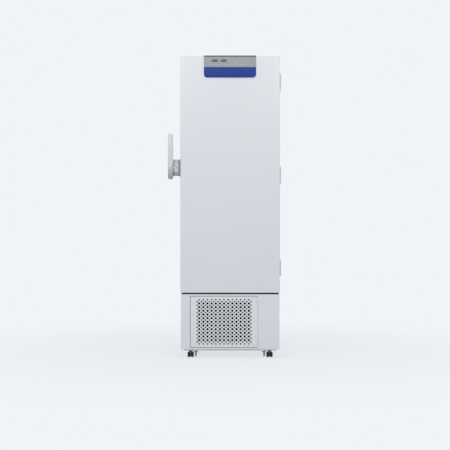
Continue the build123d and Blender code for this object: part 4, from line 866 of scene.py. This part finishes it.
# The filter door's two butt hinges
BUTT_PLACE, BUTT_HEIGHTS = (182.0, 0.0), (105.0, 356.0)
bm = bmesh.new()
for z in BUTT_HEIGHTS:
    add_turned(bm, "z", BUTT_PLACE, [(2.2, z), (2.7, z + 0.6), (2.7, z + 11.4), (2.2, z + 12)], 20)
    add_turned(bm, "z", BUTT_PLACE, [(1.35, z + 12), (1.35, z + 22)], 16)
    add_box(bm, (BUTT_PLACE[0] + 1, BUTT_PLACE[0] + 16), (1.8, 3.0), (z, z + 12), 0.4, 2)
    for dx in (6.5, 12.5):
        add_screw(bm, "y", -1, (BUTT_PLACE[0] + dx, z + 6), 1.9, 2.0, 0.9)
piece("butt_leaves_fixed", bm, "cabinet", "fascia_white")
bm = bmesh.new()
for z in BUTT_HEIGHTS:
    barrel = [(2.2, z + 12.4), (2.7, z + 13), (2.7, z + 23.4), (2.2, z + 24)]
    add_turned(bm, "z", BUTT_PLACE, barrel, 20)
    add_box(bm, (BUTT_PLACE[0] - 16, BUTT_PLACE[0] - 1), (1.8, 3.0), (z + 12.4, z + 24), 0.4, 2)
    for dx in (6.5, 12.5):
        add_screw(bm, "y", -1, (BUTT_PLACE[0] - dx, z + 18), 1.9, 2.0, 0.9)
piece("butt_leaves_swinging", bm, "filter", "fascia_white")


# Filter door: pressed sheet with round holes of two sizes, rolled edges
def perforated(name, outline, holes, y, thick):
    """A flat sheet with holes: a filled curve made into a mesh and stood upright."""
    curve = bpy.data.curves.new(name, "CURVE")
    curve.dimensions = "2D"
    curve.fill_mode = "BOTH"
    curve.extrude = thick * MM / 2
    loops = [outline] + holes
    for points in loops:
        spline = curve.splines.new("POLY")
        spline.points.add(len(points) - 1)
        for point, (px, pz) in zip(spline.points, points):
            point.co = (px * MM, pz * MM, 0.0, 1.0)
        spline.use_cyclic_u = True
    drawn = bpy.data.objects.new(name, curve)
    scene.collection.objects.link(drawn)
    bpy.context.view_layer.update()
    mesh = bpy.data.meshes.new_from_object(drawn.evaluated_get(bpy.context.evaluated_depsgraph_get()))
    bpy.data.objects.remove(drawn)
    turn = Matrix.Translation(SHIFT + Vector((0, y * MM, 0))) @ Matrix.Rotation(math.radians(90), 4, "X")
    mesh.transform(turn)
    made = bmesh.new()
    made.from_mesh(mesh)
    bpy.data.meshes.remove(mesh)
    return made


PITCH_X, PITCH_Z, COLUMNS, ROWS = 27.3, 24.2, 13, 11
LARGE_HOLE, SMALL_HOLE, EDGE_ROW = 7.8, 5.2, 24.7
mid_x, mid_z = sum(GRILLE_X) / 2, sum(GRILLE_Z) / 2
cols = [mid_x + PITCH_X * (i - COLUMNS // 2) for i in range(COLUMNS)]
rows = [mid_z + PITCH_Z * (i - ROWS // 2) for i in range(ROWS)]
large = [(x, z) for x in cols for z in rows]
between_x = [cols[0] - PITCH_X / 2] + [x + PITCH_X / 2 for x in cols]
between_z = [rows[0] - PITCH_Z / 2] + [z + PITCH_Z / 2 for z in rows]
small = [(x, z) for x in between_x for z in between_z]
small += [(x, z) for x in cols for z in (rows[0] - EDGE_ROW, rows[-1] + EDGE_ROW)]
holes = [arc(x, z, LARGE_HOLE, 0, 345, 23) for x, z in large]
holes += [arc(x, z, SMALL_HOLE, 0, 337.5, 15) for x, z in small]
bm = perforated("filter_face", rounded(GRILLE_X, GRILLE_Z, 1.5, 3), holes, 3.75, 1.5)
FOLD = 1.2
for x, z in (
    ((GRILLE_X[0], GRILLE_X[0] + FOLD), GRILLE_Z), ((GRILLE_X[1] - FOLD, GRILLE_X[1]), GRILLE_Z),
    (GRILLE_X, (GRILLE_Z[0], GRILLE_Z[0] + FOLD)), (GRILLE_X, (GRILLE_Z[1] - FOLD, GRILLE_Z[1])),
):
    add_box(bm, x, (4.4, 14.5), z)
piece("filter_face", bm, "filter", "mesh_white", ["filter_door"], 30)

# Castors: twin wheels with hubs, rounded hoods, fork webs and stems
CASTORS = {
    "front_left": (-263.0, 94.0), "front_right": (263.0, 94.0),
    "rear_left": (-263.0, 770.0), "rear_right": (263.0, 770.0),
}
AXLE_Z, TRAIL = 17.3, 14.0
WHEEL_NEAR, WHEEL_FAR, SPOKES, SPOKE_CIRCLE = 5.5, 20.5, 5, 7.6
for corner, (x, y) in CASTORS.items():
    axle_y = y - TRAIL
    axle = (axle_y, AXLE_Z)
    bm = bmesh.new()
    for s in (-1, 1):
        near, far = x + s * WHEEL_NEAR, x + s * WHEEL_FAR
        tyre = [
            (4.2, near), (14.5, near), (16.4, near + s * 0.8), (17.0, near + s * 2.4),
            (17.0, far - s * 3.4), (16.3, far - s * 1.4), (14.8, far - s * 0.3), (13.2, far),
            (11.6, far - s * 1.6), (4.2, far - s * 1.6),
        ]
        add_turned(bm, "x", axle, tyre, 48)
    node = f"castor_wheels_{corner}"
    piece(f"tyres_{corner}", bm, f"wheels_{corner}", "black_rubber", [node])

    bm = bmesh.new()
    for s in (-1, 1):
        far = x + s * WHEEL_FAR
        hub = [
            (11.4, far - s * 1.9), (11.0, far - s * 0.9), (8.2, far - s * 1.4), (4.4, far - s * 1.5),
            (3.8, far - s * 0.5), (2.6, far - s * 0.1),
        ]
        add_turned(bm, "x", axle, hub, 40)
        boss = [(1.5, far - s * 1.6), (1.5, far - s * 0.8), (0.8, far - s * 0.6)]
        for k in range(SPOKES):
            a = 2 * math.pi * k / SPOKES
            centre = (axle_y + SPOKE_CIRCLE * math.cos(a), AXLE_Z + SPOKE_CIRCLE * math.sin(a))
            add_turned(bm, "x", centre, boss, 12)
    piece(f"hubs_{corner}", bm, f"wheels_{corner}", "hub_grey")

    hood = [
        (axle_y - 13.0, 33.0), (axle_y - 9.5, 38.2), (axle_y - 3.0, 43.8), (y - 8.0, 48.8), (y - 2.0, 50.5),
        (y + 9.0, 50.5), (y + 13.0, 47.5), (y + 13.6, 40.0), (y + 12.2, 36.3), (y + 6, 36.8),
        (axle_y + 8, 38.0), (axle_y, 37.4), (axle_y - 8, 35.0),
    ]
    web = [
        (axle_y - 9, 5.2), (axle_y - 13, 14), (axle_y - 12, 24), (axle_y - 8, 34), (y + 11, 37),
        (y + 10, 30), (axle_y + 11, 8.5), (axle_y, 2.4),
    ]
    fork = bmesh.new()
    add_prism(fork, "x", web, (x - 4.9, x + 4.9), 1.0, 2)
    piece(f"fork_{corner}", fork, f"castor_{corner}", "hub_grey")
    bm = bmesh.new()
    add_prism(bm, "x", hood, (x - 13.0, x + 13.0), 1.6, 3)
    add_turned(bm, "x", axle, [(2.6, x - 19.2), (3.0, x - 18.6), (3.0, x + 18.6), (2.6, x + 19.2)], 20)
    add_turned(bm, "z", (x, y), [(5.0, 37), (5.0, 69.0), (4.0, 70.0)], 24)
    add_turned(bm, "z", (x, y), [(9.5, 50.2), (9.5, 51.2), (8.8, 51.7), (5.0, 51.8)], 28)
    piece(f"hood_{corner}", bm, f"castor_{corner}", "hood_grey", [f"castor_yoke_{corner}"])

# Levelling feet: boot on the pad, knurled wheel and ridged stem that turn together
FOOT_X, FOOT_Y = 230.0, 144.0
RIDGE_PITCH, RIDGES, STEM_END, KNURLS = 1.4, 27, 69.4, 12
BOOT = [
    (6.4, 0.0), (7.5, 1.2), (7.5, 3.0), (6.9, 4.2), (6.9, 19.0), (7.5, 20.5), (7.5, 23.0), (6.6, 24.0),
]
NUT = [(4.0, 24.1), (4.0, 26.1), (15.4, 26.1), (17.0, 27.0), (17.0, 30.0), (15.4, 31.0), (6.2, 31.0)]
KNURL = [(0.5, 26.8), (0.6, 27.4), (0.6, 29.6), (0.5, 30.2)]
stem = [(5.2, 30.8)]
for k in range(RIDGES):
    stem += [(5.95, 31.6 + RIDGE_PITCH * k), (5.2, 32.3 + RIDGE_PITCH * k)]
stem = [p for p in stem if p[1] < STEM_END] + [(5.0, 69.8), (4.2, 70.4)]
for name, x in (("left", -FOOT_X), ("right", FOOT_X)):
    bm = bmesh.new()
    add_turned(bm, "z", (x, FOOT_Y), BOOT, 32)
    piece(f"foot_boot_{name}", bm, f"foot_{name}", "foot_grey", [f"foot_pad_{name}"])
    bm = bmesh.new()
    add_turned(bm, "z", (x, FOOT_Y), NUT, 40)
    add_turned(bm, "z", (x, FOOT_Y), stem, 24)
    for k in range(KNURLS):
        a = 2 * math.pi * k / KNURLS
        add_turned(bm, "z", (x + 16.4 * math.cos(a), FOOT_Y + 16.4 * math.sin(a)), KNURL, 8)
    piece(f"foot_screw_{name}", bm, f"stem_{name}", "foot_grey", [f"foot_stem_{name}"])

# Rear: louvre hoods, cover screws, inlet bezel, spacer caps
LOUVRES, LOUVRE_LOW, LOUVRE_PITCH = 8, 150.0, 26.0
bm = bmesh.new()
for i in range(LOUVRES):
    z = LOUVRE_LOW + LOUVRE_PITCH * i
    blade = [
        (REAR - 8.5, z - 0.5), (REAR - 0.2, z + 9.6), (REAR + 1.6, z + 9.6), (REAR + 3.6, z + 7.6),
        (REAR + 3.6, z + 6.6), (REAR + 0.4, z + 8.2), (REAR - 7.6, z - 1.0),
    ]
    add_prism(bm, "x", blade, (-150.0, 150.0), 0.25, 1)
piece("louvre_blades", bm, "cabinet", "galvanised_steel")
bm = bmesh.new()
for x in (-312.0, -160.0, 0.0, 160.0, 312.0):
    for z in (70.0, 413.0, 436.0, 1989.0):
        add_screw(bm, "y", 1, (x, z), REAR - 0.1, 4.2, 2.2)
for x in (-312.0, 312.0):
    for z in (190.0, 300.0, 640.0, 900.0, 1160.0, 1420.0, 1680.0):
        add_screw(bm, "y", 1, (x, z), REAR - 0.1, 4.2, 2.2)
piece("cover_screws", bm, "cabinet", "bright_steel")

INLET_X, INLET_Z = -240.0, 113.0


def inlet_outline(half_width, half_height, radius):
    """A rounded rectangle about the inlet's middle."""
    x = (INLET_X - half_width, INLET_X + half_width)
    return rounded(x, (INLET_Z - half_height, INLET_Z + half_height), radius, 5)


bm = bmesh.new()
add_frame(bm, inlet_outline(22, 17, 3.0), inlet_outline(14, 11, 4.0), (REAR, REAR + 10), 0.8)
add_box(bm, (INLET_X - 15, INLET_X + 15), (REAR, REAR + 2), (INLET_Z - 12, INLET_Z + 12))
for s in (-1, 1):
    add_screw(bm, "y", 1, (INLET_X + s * 18, INLET_Z), REAR + 9.9, 2.4, 0.1)
piece("inlet_bezel", bm, "cabinet", "black_plastic", ["power_inlet"])
bm = bmesh.new()
for x in (INLET_X - 7, INLET_X, INLET_X + 7):
    add_box(bm, (x - 1.5, x + 1.5), (REAR + 1.8, REAR + 8), (INLET_Z - 3.5, INLET_Z + 3.5), 0.5, 2)
piece("inlet_pins", bm, "cabinet", "bright_steel")
bm = bmesh.new()
for x in (-240.0, 240.0):
    for z in (480.0, 1880.0):
        add_box(bm, (x - 22, x + 22), (REAR, REAR + 22), (z, z + 60), 4.0, 4)
piece("wall_spacers", bm, "cabinet", "black_plastic", ["rear_spacers"])

# Carried-over sheets and mouldings get soft edges
for name, width in (
    ("side_panels", 0.5), ("top_panel", 0.5), ("inner_door_lower", 3.0), ("inner_door_upper", 3.0),
    ("control_box", 1.5), ("cascade_exchanger", 3.0), ("latch_keeper", 0.8), ("latch_hook", 1.0),
    ("shelves", 0.4), ("access_port", 0.8),
):
    soften(name, width)
